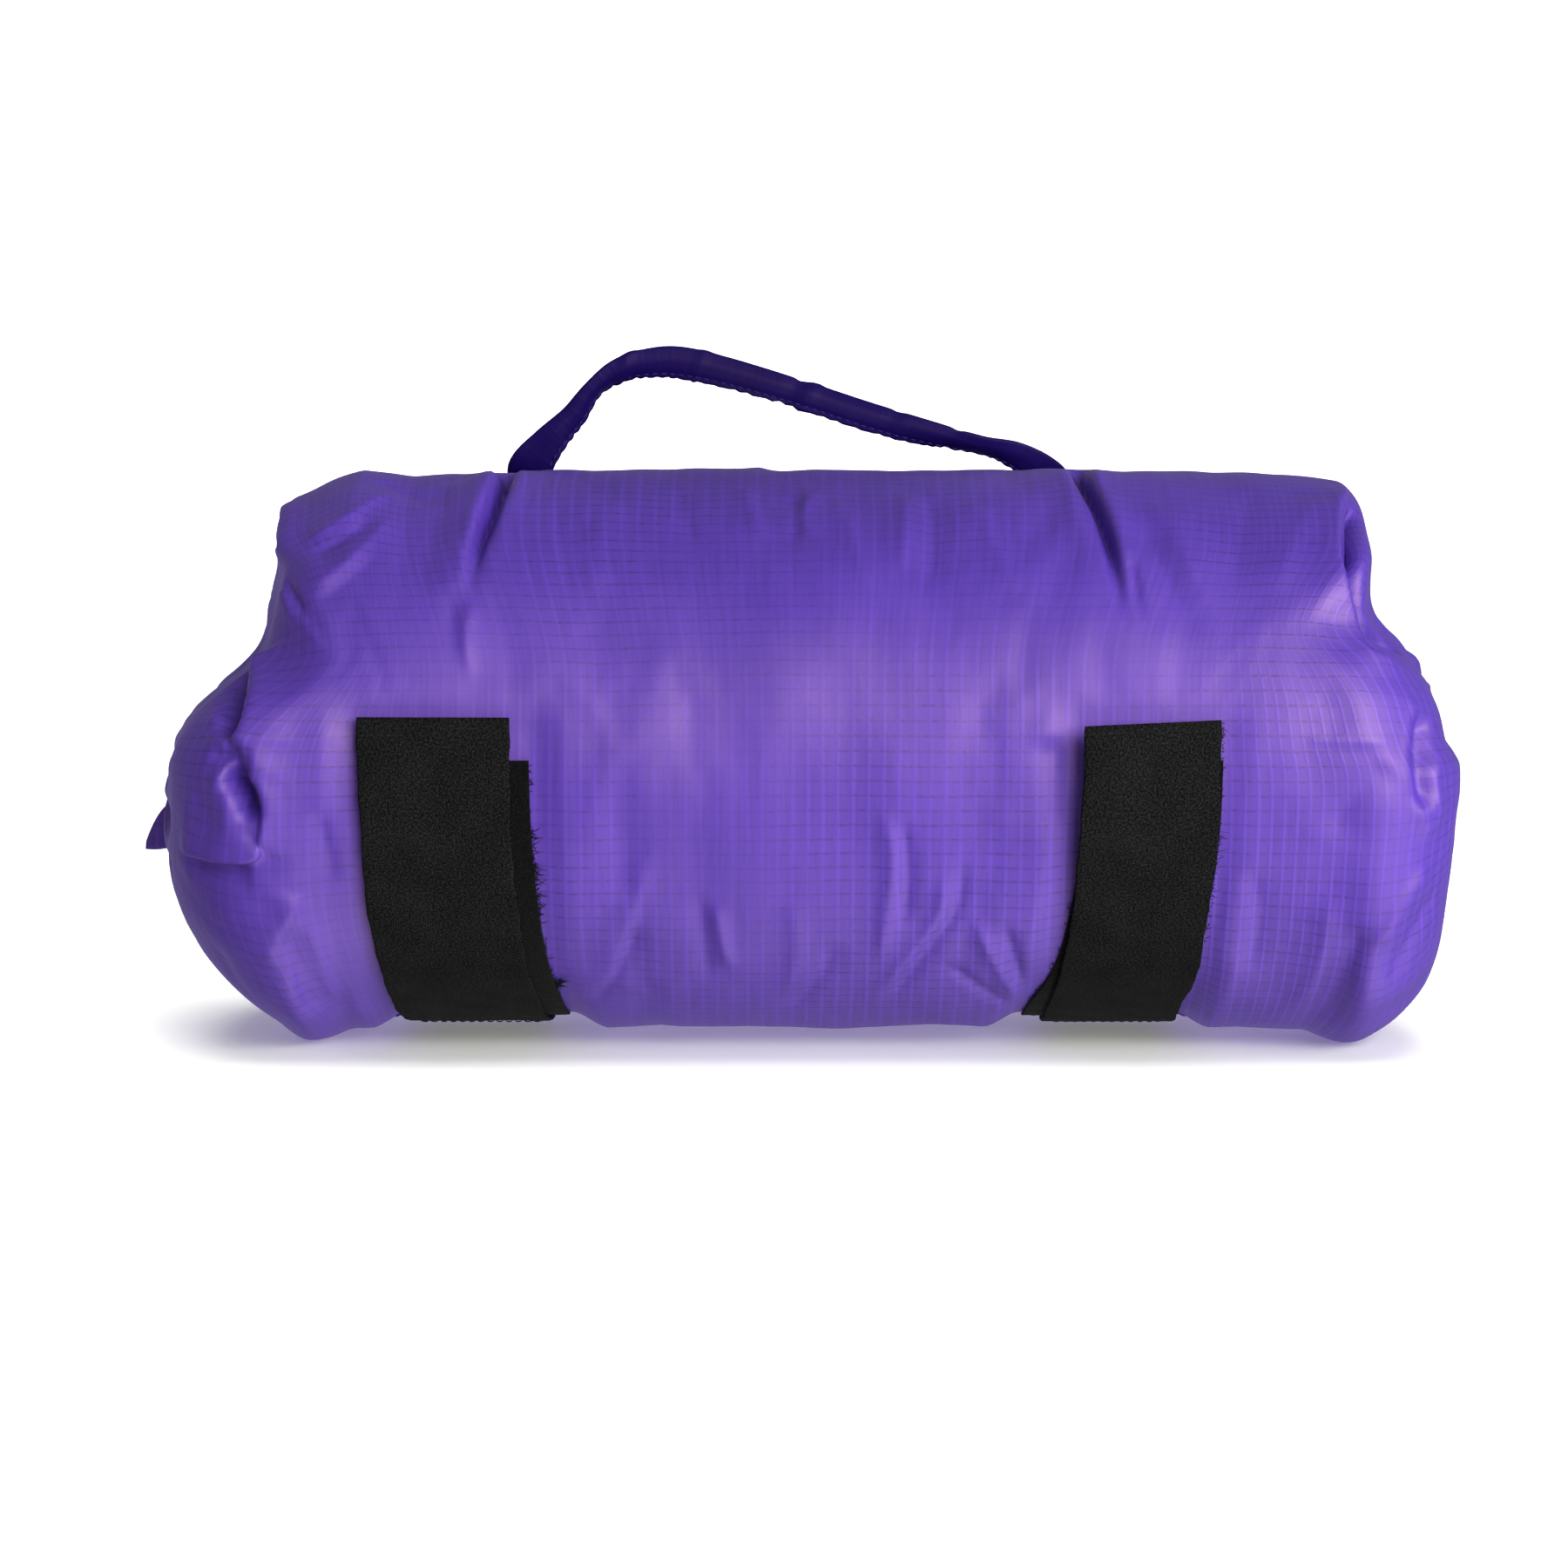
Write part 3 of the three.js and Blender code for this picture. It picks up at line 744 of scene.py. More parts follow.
LEFT_END_FOLDS = [
    # The upper pocket, with the body's edge on its right and the lobe's ridge on its left.
    ([(-188.5, 134), (-191.5, 124), (-193, 114), (-195.5, 105), (-200.5, 98)],
     4.5, (8, 2.0), {"fade": (0.1, 0.1), "lean": 2.5}),
    ([(-194, 127), (-197.5, 115), (-200.5, 102)], -10.5, (2.4, 6.5), {"fade": (0.2, 0.15), "power": 1.8}),
    ([(-206.5, 114), (-204.8, 105), (-202.5, 98)], 2.8, (2.2, 3), {"fade": (0.4, 0.1)}),
    # The pinch, and the wrinkles out of it.
    ([(-208, 98.5), (-202, 97.2), (-195, 97.6)], -3.0, (2.0, 2.0)),
    ([(-199, 99.5), (-188, 103.5), (-176, 105)], 0.9, (2.4, 2.6), {"fade": (0.1, 0.6)}),
    ([(-199, 95.5), (-189, 92.5), (-178, 91.5)], 0.8, (2.6, 2.4), {"fade": (0.1, 0.6)}),
    # The lower pocket and the flap that hangs over it.
    ([(-197, 91), (-191.6, 87.8), (-189, 79), (-189.2, 70), (-192, 63.5)],
     2.6, (7, 1.8), {"fade": (0.1, 0.15), "lean": 1.8}),
    ([(-202, 92.2), (-197, 88.4), (-193.4, 82), (-192.4, 73)],
     -10.5, (2.6, 5.2), {"fade": (0.1, 0.25), "power": 2.0}),
    ([(-205, 92), (-201, 82), (-197, 74)], 2.6, (1.8, 8), {"fade": (0.1, 0.3)}),
    ([(-190.7, 67), (-195.6, 62.6), (-206, 63), (-219, 66)],
     3.4, (1.6, 8), {"fade": (0.1, 0.2), "lean": -2.4}),
    ([(-193, 58.6), (-205, 58.4), (-218, 61.5)], -4.0, (5, 2.2), {"fade": (0.2, 0.3)}),
    ([(-214, 84), (-208, 76), (-203, 71)], -1.6, (8, 8)),
    # Lower down.
    ([(-177, 50), (-184, 36), (-190, 22)], 2.0, (3, 7)),
    ([(-176, 42), (-171, 26), (-165, 10)], 1.6, (6, 3)),
    ([(-184, 40), (-178, 22), (-172, 6)], -2.0, (6, 6)),
    ([(-207, 34), (-203, 22), (-194, 12)], -1.8, (4, 5), {"fade": (0.4, 0.5)}),
    ([(-172, 79), (-167, 62), (-166, 50)], -1.2, (5, 5)),
    ([(-190, 102), (-176, 103), (-157, 104)], 0.5, (1.3, 2)),
]
LEFT_TOP_FOLDS = [
    # Two facets that face up, each with a lighter step at its lower edge.
    ([(-177, 169.5), (-163, 177), (-152, 184), (-144, 189)],
     1.7, (7, 2.2), {"fade": (0.2, 0.3), "power": 1.2}),
    ([(-174, 166.5), (-162, 172.6), (-151, 179)], -1.8, (2.4, 7)),
    ([(-175, 153), (-163, 162), (-153, 171), (-144, 181)], 1.6, (7, 3), {"fade": (0.2, 0.3), "power": 1.2}),
    ([(-173, 149), (-160, 158), (-148, 168)], -0.8, (3, 8)),
    ([(-182, 158), (-179, 151), (-175.4, 144.5)], -2.0, (1.6, 1.5)),
    ([(-183.5, 155), (-181, 148), (-177.5, 141)], 1.0, (1.6, 3)),
    ([(-183, 156), (-176, 143), (-166, 131)], 1.2, (2, 6)),
    ([(-181.5, 185), (-183.5, 168), (-186.5, 150), (-189, 136)], 1.8, (6, 1.6), {"fade": (0.05, 0.1)}),
    ([(-150, 193), (-140, 188), (-128, 184)], -1.2, (5, 4)),
]
RIGHT_END_FOLDS = [
    ([(182, 189), (179, 181), (178.6, 169), (181, 154), (183, 147), (185.2, 139), (190.5, 131), (204, 126)],
     3.2, (1.6, 6), {"fade": (0.22, 0.1), "lean": -1.6}),
    ([(185.5, 183), (184.5, 167), (186, 153), (189, 142), (200, 134)],
     -7.0, (3.2, 2.8), {"fade": (0.15, 0.1), "power": 1.8}),
    # The pocket shaped like a V.
    ([(207.5, 117), (205.4, 102), (206.4, 88), (209, 75), (211.6, 71.4), (215, 76), (217, 90)],
     2.2, (4, 1.6), {"fade": (0.1, 0.15), "power": 1.1}),
    ([(209.8, 112), (209.2, 98), (210.2, 86), (212, 78)],
     -5.5, (3.4, 4.0), {"fade": (0.15, 0.2), "power": 1.8}),
    ([(210.5, 72), (213, 80), (215, 92), (215.6, 104)], 1.2, (2, 2)),
    ([(174, 172), (175, 158), (178, 145)], 0.6, (7, 7)),
    ([(168, 102.3), (186, 101.7), (204, 101.4)], 0.6, (2.4, 1.4)),
    ([(212, 60), (202, 45), (193, 28)], 2.4, (8, 2.4), {"power": 1.1}),
    ([(216, 52), (208, 36), (199, 16)], -2.2, (4, 5)),
    ([(178, 52), (176, 30), (168, 8)], 1.6, (5, 7)),
    ([(190, 40), (184, 22), (178, 4)], -2.0, (5, 5)),
    ([(200, 96), (188, 84), (176, 66)], -1.4, (8, 8)),
    ([(172, 186), (164, 170), (158, 150)], 1.4, (8, 8)),
    ([(150, 190), (146, 172), (144, 150)], -1.1, (8, 8)),
    ([(140, 62), (142, 44), (136, 22)], 1.6, (2.4, 5)),
    ([(150, 60), (154, 42), (150, 20)], -1.4, (5, 6)),
    # The hollow beside the right strap's raised edge.
    ([(86, 105), (87, 88), (90, 60)], -3.6, (4, 7), {"fade": (0.15, 0.4), "power": 1.8}),
]


BACK_FOLD_COUNT = 46


def back_folds():
    """Wrinkles for the side that faces away, spread by a fixed seed."""
    rng = np.random.default_rng(7)
    folds = []
    for _ in range(BACK_FOLD_COUNT):
        x, z = rng.uniform(-170, 170), rng.uniform(12, 185)
        run, drop = rng.normal(0, 7), rng.uniform(18, 44)
        line = [(x, z + drop / 2), (x + run * 0.3, z), (x + run, z - drop / 2)]
        folds.append((line, rng.choice([-1, 1]) * rng.uniform(0.8, 1.9), tuple(rng.uniform(3, 7, 2))))
    return folds


# Unevenness all over the skin: its size along each axis, where in the noise it is taken from, and its height.
SOFT_LUMPS = (((24, 90, 90), (3, 0, 0), 0.55), ((70, 70, 70), (0, 9, 0), 1.4))
FLOOR_GAP = 0.3 * MM


def sculpt_skin(skin):
    sculptor = Sculptor(skin.data)
    gather_folds(sculptor)
    for group in (
        HANDLE_PLEATS, TOP_WRINKLES, FOOT_WRINKLES, LEFT_END_FOLDS, LEFT_TOP_FOLDS, RIGHT_END_FOLDS
    ):
        for line, height, widths, *options in group:
            sculptor.fold(line, height, widths, **dict(*options))
    for line, height, widths in back_folds():
        sculptor.fold(line, height, widths, view=seen_from_behind)
    points = sculptor.points
    for size, offset, height in SOFT_LUMPS:
        sculptor.add(noise_field(points, size, offset, 2) * height * MM)
    pressed = under_straps(points)
    sculptor.finish(allow=1 - pressed)
    points = get_points(skin.data)
    # Under a strap the skin lies just below the tape.
    away = points[:, 1:] - AXIS[1:]
    r = np.linalg.norm(away, axis=1)
    below = np.degrees(np.arctan2(-away[:, 1], -away[:, 0]))
    limit = RADIUS + (SKIN_UNDER_TAPE + settled_belly(below)) * MM
    pulled = np.where(r > limit, limit / np.maximum(r, 1e-9), 1.0)
    scale = mix(1.0, pulled, pressed)
    points[:, 1:] = AXIS[1:] + away * scale[:, None]
    points[:, 2] = np.maximum(points[:, 2], FLOOR_GAP)
    set_points(skin.data, points)


def relax_as_cloth(obj, held, pressure, frames, reach, extra_cloth, share):
    """Inflates the mesh as cloth with some points held, and keeps a share of the ripples that makes, but not
    the swelling. No point moves further than reach."""
    before = get_points(obj.data)
    group = obj.vertex_groups.new(name="held")
    for index in np.nonzero(held > 0.01)[0]:
        group.add([int(index)], float(held[index]), "REPLACE")
    cloth = obj.modifiers.new("cloth", "CLOTH")
    for key, value in {
        "quality": 6, "mass": 0.15, "tension_stiffness": 15, "compression_stiffness": 12,
        "shear_stiffness": 4, "bending_stiffness": 0.25, "vertex_group_mass": "held",
        "shrink_min": -extra_cloth, "use_pressure": True, "uniform_pressure_force": pressure,
    }.items():
        setattr(cloth.settings, key, value)
    cloth.settings.effector_weights.gravity = 0
    cloth.collision_settings.use_collision = False
    cloth.point_cache.frame_start = 1
    cloth.point_cache.frame_end = frames
    scene = bpy.context.scene
    for number in range(1, frames + 1):
        scene.frame_set(number)
    after = get_points(obj.evaluated_get(bpy.context.evaluated_depsgraph_get()).data)
    obj.modifiers.clear()
    obj.vertex_groups.clear()
    scene.frame_set(1)
    moved = after - before
    normals = get_normals(obj.data)
    outward = np.einsum("ij,ij->i", moved, normals)
    free = held < 0.01
    moved = (moved - normals * outward[free].mean()) * (1 - held[:, None]) * share
    size = np.linalg.norm(moved, axis=1, keepdims=True)
    moved *= np.minimum(1, reach / np.maximum(size, 1e-12))
    set_points(obj.data, before + moved)


HANDLE_ROOTS = {"left": -99, "right": 87}


def make_skin():
    skin = build_skin()
    points = get_points(skin.data)
    # Held: beside the straps, the ends' middles, the ground, and the handle's feet.
    held = under_straps(points, beside=34)
    x = np.abs(points[:, 0] - MIDDLE_X) / MM
    r = np.linalg.norm(points[:, 1:] - AXIS[1:], axis=1) / MM
    held = np.maximum(held, (1 - smoothstep(r, 14, 22)) * (x > 100))
    held = np.maximum(held, 1 - smoothstep(points[:, 2] / MM, 1.0, 2.5))
    for root_x in HANDLE_ROOTS.values():
        gap = np.hypot(points[:, 0] - MIDDLE_X - root_x * MM, points[:, 1] - AXIS_Y - 20 * MM) / MM
        held = np.maximum(held, (1 - smoothstep(gap, 8, 14)) * (points[:, 2] > AXIS_Z))
    relax_as_cloth(skin, held, pressure=3.0, frames=20, reach=3 * MM, extra_cloth=0.03, share=0.2)
    add_modifier(skin, "SUBSURF", levels=2, render_levels=2)
    apply_modifiers(skin)
    sculpt_skin(skin)
    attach(skin, "sack")
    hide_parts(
        "sack_body_tube", "left_end_gather", "right_end_gather", "left_mouth_tuck", "right_end_tuck"
    )
    return skin


sack_skin = make_skin()


# ---- Bands of tape round the roll ----
def band_points(angles, across, middles, outward, drift=0.0):
    """Points of a band: rows by angle below the front in degrees, with the band's middle at each, and columns
    by place across it in millimetres. outward is how far each point lies out from the roll's radius."""
    beta = np.radians(angles)
    beta = beta if beta.ndim == 2 else beta[:, None]
    r = ROLL + outward + settled_belly(np.degrees(beta))
    x = np.asarray(middles, float)[:, None] + across[None, :] + drift + 0 * r
    return np.stack([x, -r * np.cos(beta) + 0 * x, AXIS_Z / MM - r * np.sin(beta) + 0 * x], axis=-1)


def section_loop(width, thickness, columns=26, round_off=5):
    """A flat tape's section, as (across, share of thickness) from the inner face round to the outer one."""
    rim = thickness / 2
    half = width / 2 - rim
    flat = np.linspace(-half, half, columns)
    turn = np.linspace(-math.pi / 2, math.pi / 2, round_off + 2)[1:-1]
    right = [(half + rim * math.cos(t), 0.5 + 0.5 * math.sin(t)) for t in turn]
    left = [(-half - rim * math.cos(t), 0.5 - 0.5 * math.sin(t)) for t in turn]
    return np.array([(a, 0.0) for a in flat] + right + [(a, 1.0) for a in flat[::-1]] + left)


def make_band(name, angles, middles, width, layer, material, lift=None, edge=None, columns=26, tip=None):
    """A closed strip of tape. lift(angles, across) moves it outwards and edge(angles, across) sideways, and
    tip gives its first row's angles on the left and right where it is cut on the slant."""
    loop = section_loop(width, layer[1] - layer[0], columns)
    across, share = loop[:, 0], loop[:, 1]
    grid = angles[:, None] + 0 * across[None, :]
    if tip is not None:
        cut = mix(tip[0], tip[1], across / width + 0.5)
        fade = 1 - smoothstep(angles, angles[0], angles[0] + 20)
        grid = grid + (cut - angles[0])[None, :] * fade[:, None]
    outward = layer[0] + (layer[1] - layer[0]) * share[None, :] + 0 * grid
    if lift is not None:
        outward = outward + lift(grid, across[None, :])
    drift = edge(grid, across[None, :]) if edge is not None else 0.0
    points = band_points(grid, across, middles, outward, drift)
    uv = tube_uv(np.radians(angles) * ROLL, across, past_end=5)
    faces = tube_faces(len(angles), len(loop))
    obj = make_mesh(name, place(points.reshape(-1, 3)), faces, material, np.array(uv) * MM)
    for cut_end in obj.data.polygons[-2:]:
        cut_end.use_smooth = False
    return obj


SKIN_TREE = BVHTree.FromObject(sack_skin, bpy.context.evaluated_depsgraph_get())


def on_skin(x, angle, lift):
    """The point on the skin at a place along the roll and an angle below the front, in metres. lift takes it
    off the skin."""
    beta = math.radians(angle)
    outward = Vector((0, -math.cos(beta), -math.sin(beta)))
    axis = Vector((x * MM + MIDDLE_X, AXIS_Y, AXIS_Z))
    hit = SKIN_TREE.ray_cast(axis + outward * 0.2, -outward)[0]
    return np.array(hit + outward * lift * MM)


def make_laid(name, along, across, to_place, thickness, material):
    """A flat piece that lies on the skin. to_place(u, v) gives the place along the roll and the angle."""
    rim = 0.35
    columns = len(across)
    points, cloth = [], []
    for row, u in enumerate(along):
        low = -rim if 0 < row < len(along) - 1 else 0
        side = low + rim + thickness * 0.4
        outer = [(v, thickness if 0 < c < columns - 1 else side) for c, v in enumerate(across)]
        inner = [(v, -rim) for v in across[::-1]]
        for v, lift in outer + inner:
            points.append(on_skin(*to_place(u, v), lift))
            cloth.append((u, v))
    faces = tube_faces(len(along), 2 * columns)
    uv = [cloth[v] for face in faces for v in face]
    return make_mesh(name, points, faces, material, np.array(uv) * MM)


HOOK_END_ANGLE = 42.0


def waves(along, across, size, seed):
    """Small unevenness of a tape, in millimetres."""
    return size * (
        np.sin(along * 0.11 + seed) * 0.5 + np.sin(along * 0.31 + across * 0.16 + 2 * seed) * 0.3
        + np.sin(along * 0.73 - across * 0.21 + 3 * seed) * 0.2
    )


def add_strap(side, strap):
    width = strap["width"]
    seed = 1.3 if side == "left" else 4.1
    left_off, right_off = strap["stand_off"]

    def lift(angles, across):
        share = across / width + 0.5
        off = mix(left_off, right_off, smoothstep(share, 0, 1)) * (1 - smoothstep(angles, -8, 40))
        seat = -0.6 * smoothstep(angles, 44, 62)
        return off + seat + waves(angles, across, 0.35, seed)

    def edge(angles, across):
        return waves(angles * 1.7, across * 0, 0.5, seed + 1) * np.sign(across)

    strap_angles = np.linspace(strap["tip"][0], STRAP_END, 110)
    piece = make_band(
        f"{side}_strap", strap_angles, strap_middle(strap, strap_angles), width, STRAP_LAYER, STRAP_WEAVE,
        lift, edge, tip=strap["tip"],
    )
    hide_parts(f"{side}_hook_strap", f"{side}_strap_root")
    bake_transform(piece)

    hook_angles = np.linspace(strap["tip"][0] + 1.5, HOOK_END_ANGLE, 40)
    hook = make_band(
        f"{side}_hook_face", hook_angles, strap_middle(strap, hook_angles), width - 4, HOOK_LAYER, HOOK_PILE,
        lift, tip=(strap["tip"][0] + 1.5, strap["tip"][1] + 1.5),
    )
    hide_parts(f"{side}_hook_tape")
    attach(hook, f"{side}_strap")

    def pile(angles, across):
        rough = np.random.default_rng(int(seed * 10)).normal(0, 0.07, angles.shape)
        return rough + waves(angles, across, 0.2, seed + 2)

    loop_angles = np.linspace(strap["loop_top"], 78, 120)
    middles = loop_middle(strap, loop_angles)
    loop = make_band(f"{side}_loop_tape", loop_angles, middles, width, LOOP_LAYER, LOOP_PILE, pile, None, 40)
    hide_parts(f"{side}_loop_strip")
    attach(loop, "sack")

    def patch_place(u, v):
        angle = math.degrees(u / ROLL)
        return float(strap_middle(strap, angle)) + v, angle

    patch_along = np.radians(np.linspace(82, 118, 26)) * ROLL
    patch_across = np.linspace(-width / 2 - 4, width / 2 + 4, 20)
    patch = make_laid(f"{side}_root_patch", patch_along, patch_across, patch_place, 0.6, SACK_CLOTH)
    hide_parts(f"{side}_strap_patch")
    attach(patch, "sack")
    add_root_stitching(side, strap)


# ---- Stitching ----
def make_threads(name, lines, thickness, material):
    """Short lengths of thread, each a curved and tapered tube along its own line of points in metres."""
    sides = 6
    points, faces = [], []
    for line in lines:
        line = np.asarray(line, float)
        tangents = unit(np.gradient(line, axis=0))
        first = unit(np.cross(tangents, (0.31, 0.87, 0.38)))  # any direction that no thread follows
        second = np.cross(tangents, first)
        taper = np.full(len(line), 1.0)
        taper[0] = taper[-1] = 0.35
        start = len(points)
        for i in range(len(line)):
            for k in range(sides):
                t = 2 * math.pi * k / sides
                r = thickness / 2 * taper[i]
                points.append(line[i] + first[i] * r * math.cos(t) + second[i] * r * math.sin(t))
        faces += [tuple(start + v for v in face) for face in tube_faces(len(line), sides)]
    return make_mesh(name, points, faces, material)


def stitches_along(path, outward, length, gap, rise):
    """Stitches that follow a path of points in metres; outward is the cloth's normal at each point."""
    steps = np.linalg.norm(np.diff(path, axis=0), axis=1)
    reached = np.concatenate([[0], np.cumsum(steps)])
    lines = []
    at = gap / 2
    while at + length < reached[-1]:
        t = np.linspace(at, at + length, 5)
        line = np.stack([np.interp(t, reached, path[:, k]) for k in range(3)], axis=1)
        normal = np.stack([np.interp(t, reached, outward[:, k]) for k in range(3)], axis=1)
        arch = np.array([-0.3, 0.8, 1.0, 0.8, -0.3])[:, None] * rise
        lines.append(line + normal * arch)
        at += length + gap
    return lines


ROOT_BOX = (86.0, 108.0)  # angles below the front, as the tacks' are
ROOT_TACKS = (110.2, 110.9)


def add_root_stitching(side, strap):
    """A sewn box with a cross where the strap's end is fixed under the belly, and a bar tack behind it."""
    half = strap["width"] / 2 - 4
    low, high = ROOT_BOX
    corners = [(low, -half), (low, half), (high, half), (high, -half), (low, -half)]
    runs = list(zip(corners, corners[1:])) + [((low, -half), (high, half)), ((low, half), (high, -half))]
    runs += [((angle, -half + 2), (angle, half - 2)) for angle in ROOT_TACKS]
    lines = []
    for (angle_a, across_a), (angle_b, across_b) in runs:
        angles = np.linspace(angle_a, angle_b, 30)
        across = np.linspace(across_a, across_b, 30)
        rows = band_points(angles, across, strap_middle(strap, angles), STRAP_LAYER[1] - 0.55)
        path = place(rows[np.arange(30), np.arange(30)])
        lines += stitches_along(path, away_from_axis(path), 2.4 * MM, 0.8 * MM, 0.25 * MM)
    piece = make_threads(f"{side}_root_stitching", lines, 0.5 * MM, BLACK_THREAD)
    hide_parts(f"{side}_strap_bartack")
    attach(piece, "sack")


def fibres(rng, places, length, spread):
    """Fine stray fibres from points in millimetres about the roll, each with the way it points."""
    lines = []
    for point, way in places:
        way = unit(np.array(way) + rng.normal(0, spread, 3))
        curl = rng.normal(0, 0.5, 3)
        size = rng.uniform(*length)
        lines.append(place([point + way * size * t + curl * size * t * t for t in (0, 0.35, 0.7, 1)]))
    return lines


def edge_places(rng, strap, middle, layer, angles, count, sign):
    """Points along one edge of a tape, and the way out from it across the tape."""
    out = []
    across = np.array([sign * strap["width"] / 2])
    for angle in rng.uniform(*angles, count):
        edge = band_points(np.array([angle]), across, middle(strap, [angle]), layer)
        out.append((edge[0, 0], (sign, -0.35, 0.0)))
    return out


def add_fray():
    """Loose fibres along the cut edges of the tapes."""
    rng = np.random.default_rng(5)

    def along_edge(side, middle, layer, angles, count, sign, length, spread=0.5):
        return fibres(rng, edge_places(rng, STRAPS[side], middle, layer, angles, count, sign), length, spread)

    lines = along_edge("left", loop_middle, -1.2, (0, 60), 60, 1, (0.5, 1.3))
    lines += along_edge("left", loop_middle, -1.0, (13, 34), 80, 1, (0.9, 2.6))
    lines += along_edge("right", loop_middle, -1.2, (30, 66), 40, -1, (0.5, 1.2))
    tuft = edge_places(rng, STRAPS["left"], loop_middle, -0.6, (54, 56), 26, 1)
    lines += fibres(rng, [(point, (1, -0.7, 0.9)) for point, _ in tuft], (2.5, 5.5), 0.3)
    piece = make_threads("loop_tape_fray", lines, 0.28 * MM, BLACK_THREAD)
    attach(piece, "sack")

    lines = along_edge("right", strap_middle, 1.5, (-8, 38), 90, 1, (0.4, 1.3))
    lines += along_edge("right", strap_middle, 1.6, (-8.5, 0), 20, 1, (0.3, 0.8))
    piece = make_threads("right_strap_fray", lines, 0.26 * MM, BLACK_THREAD)
    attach(piece, "right_strap")

    lines = along_edge("right", strap_middle, 1.2, (12, 27), 34, 1, (1.0, 3.0), 0.8)
    piece = make_threads("right_strap_caught_fibres", lines, 0.24 * MM, PURPLE_THREAD)
    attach(piece, "right_strap")


for strap_side, strap_facts in STRAPS.items():
    add_strap(strap_side, strap_facts)
add_fray()


# ---- Handle ----
def above_skin(x, y, lift):
    """A place a little above the skin, in millimetres from the roll's middle."""
    hit = SKIN_TREE.ray_cast(Vector((x * MM + MIDDLE_X, y * MM + AXIS_Y, 1)), Vector((0, 0, -1)))[0]
    return x, y, hit.z / MM + lift


# The strip's middle line, from its sewn tail behind the left root to the one behind the right root: a point
# in millimetres from the roll's middle, the direction across the strip, and its width.
HANDLE_STATIONS = [
    (above_skin(HANDLE_ROOTS["left"], 60, 0.9), (1, 0, 0), 15),
    (above_skin(HANDLE_ROOTS["left"], 47, 0.9), (1, 0, 0), 15),
    (above_skin(HANDLE_ROOTS["left"], 35, 1.2), (1, 0, -0.1), 15.5),
    (above_skin(-98.5, 28, 4.5), (1, 0.1, -0.5), 15.5),
    ((-92, 26, 204), (0.8, 0.1, -0.75), 12),
    ((-83.5, 26, 213), (0.8, 0.35, -0.6), 9.5),
    ((-77, 26, 222), (0.55, 0.72, -0.5), 9),
    ((-69, 26, 228.3), (0.35, 0.55, -0.8), 9.5),
    ((-59, 26, 231.2), (0.15, 0.25, -1), 10.5),
    ((-47, 26, 231.6), (0, 0.05, -1), 11.5),
    ((-30, 26, 228), (-0.2, -0.1, -1), 11),
    ((-4, 26, 220.3), (-0.25, -0.15, -1), 10.5),
    ((22, 26, 211.8), (-0.25, -0.1, -1), 10.5),
    ((42, 26, 206.6), (-0.2, 0.4, -0.9), 9.5),
    ((58, 26.5, 203), (-0.2, 0.75, -0.65), 9.5),
    ((70, 28, 199.5), (-0.5, 0.5, -0.8), 11),
    (above_skin(80, 33, 3.6), (-0.95, 0, -0.35), 13.5),
    (above_skin(86, 42, 1.0), (-1, 0.1, 0), 15),
    (above_skin(HANDLE_ROOTS["right"], 60, 0.9), (-1, 0, 0), 15),
]
HANDLE_FOLD = 2.6  # thickness of the folded cloth
TAIL_FOLD = 1.5  # the same where it is sewn down
PATCH_THICKNESS = 0.6
STITCH_INSET = 1.7
# Soft creases across the strip: where each is, how it slants, and its height.
HANDLE_CREASES = ((-8, 9, -0.7), (-2, 7, 0.6), (26, 8, -0.5), (-40, 5, 0.4), (48, 6, -0.6), (-66, 4, 0.5))


def lay_tails(points, reached, share):
    """Lays the two sewn tails of the handle on the skin's patches. share is each point's place through the
    strip's thickness, 0 underneath and 1 on top."""
    sewn = 1 - smoothstep(reached, 22, 32) + smoothstep(reached, reached[-1] - 32, reached[-1] - 22)
    for i in np.nonzero(sewn > 0)[0]:
        for c, (x, y, z) in enumerate(points[i]):
            laid = above_skin(x, y, PATCH_THICKNESS + 0.1 + TAIL_FOLD * share[i, c])[2]
            points[i, c, 2] = mix(z, laid, sewn[i])
    return points


def handle_frames(steps_per_span=12):
    """Points, across and outward directions and widths along the handle, and how far along it each is."""
    middle = curve_through([p for p, _, _ in HANDLE_STATIONS], steps_per_span)
    across = curve_through([a for _, a, _ in HANDLE_STATIONS], steps_per_span)
    width = curve_through([(w,) for _, _, w in HANDLE_STATIONS], steps_per_span)[:, 0]
    tangent = unit(np.gradient(middle, axis=0))
    across = unit(across - tangent * np.sum(across * tangent, axis=1, keepdims=True))
    outward = np.cross(tangent, across)
    reached = np.concatenate([[0], np.cumsum(np.linalg.norm(np.diff(middle, axis=0), axis=1))])
    return middle, across, outward, width, reached


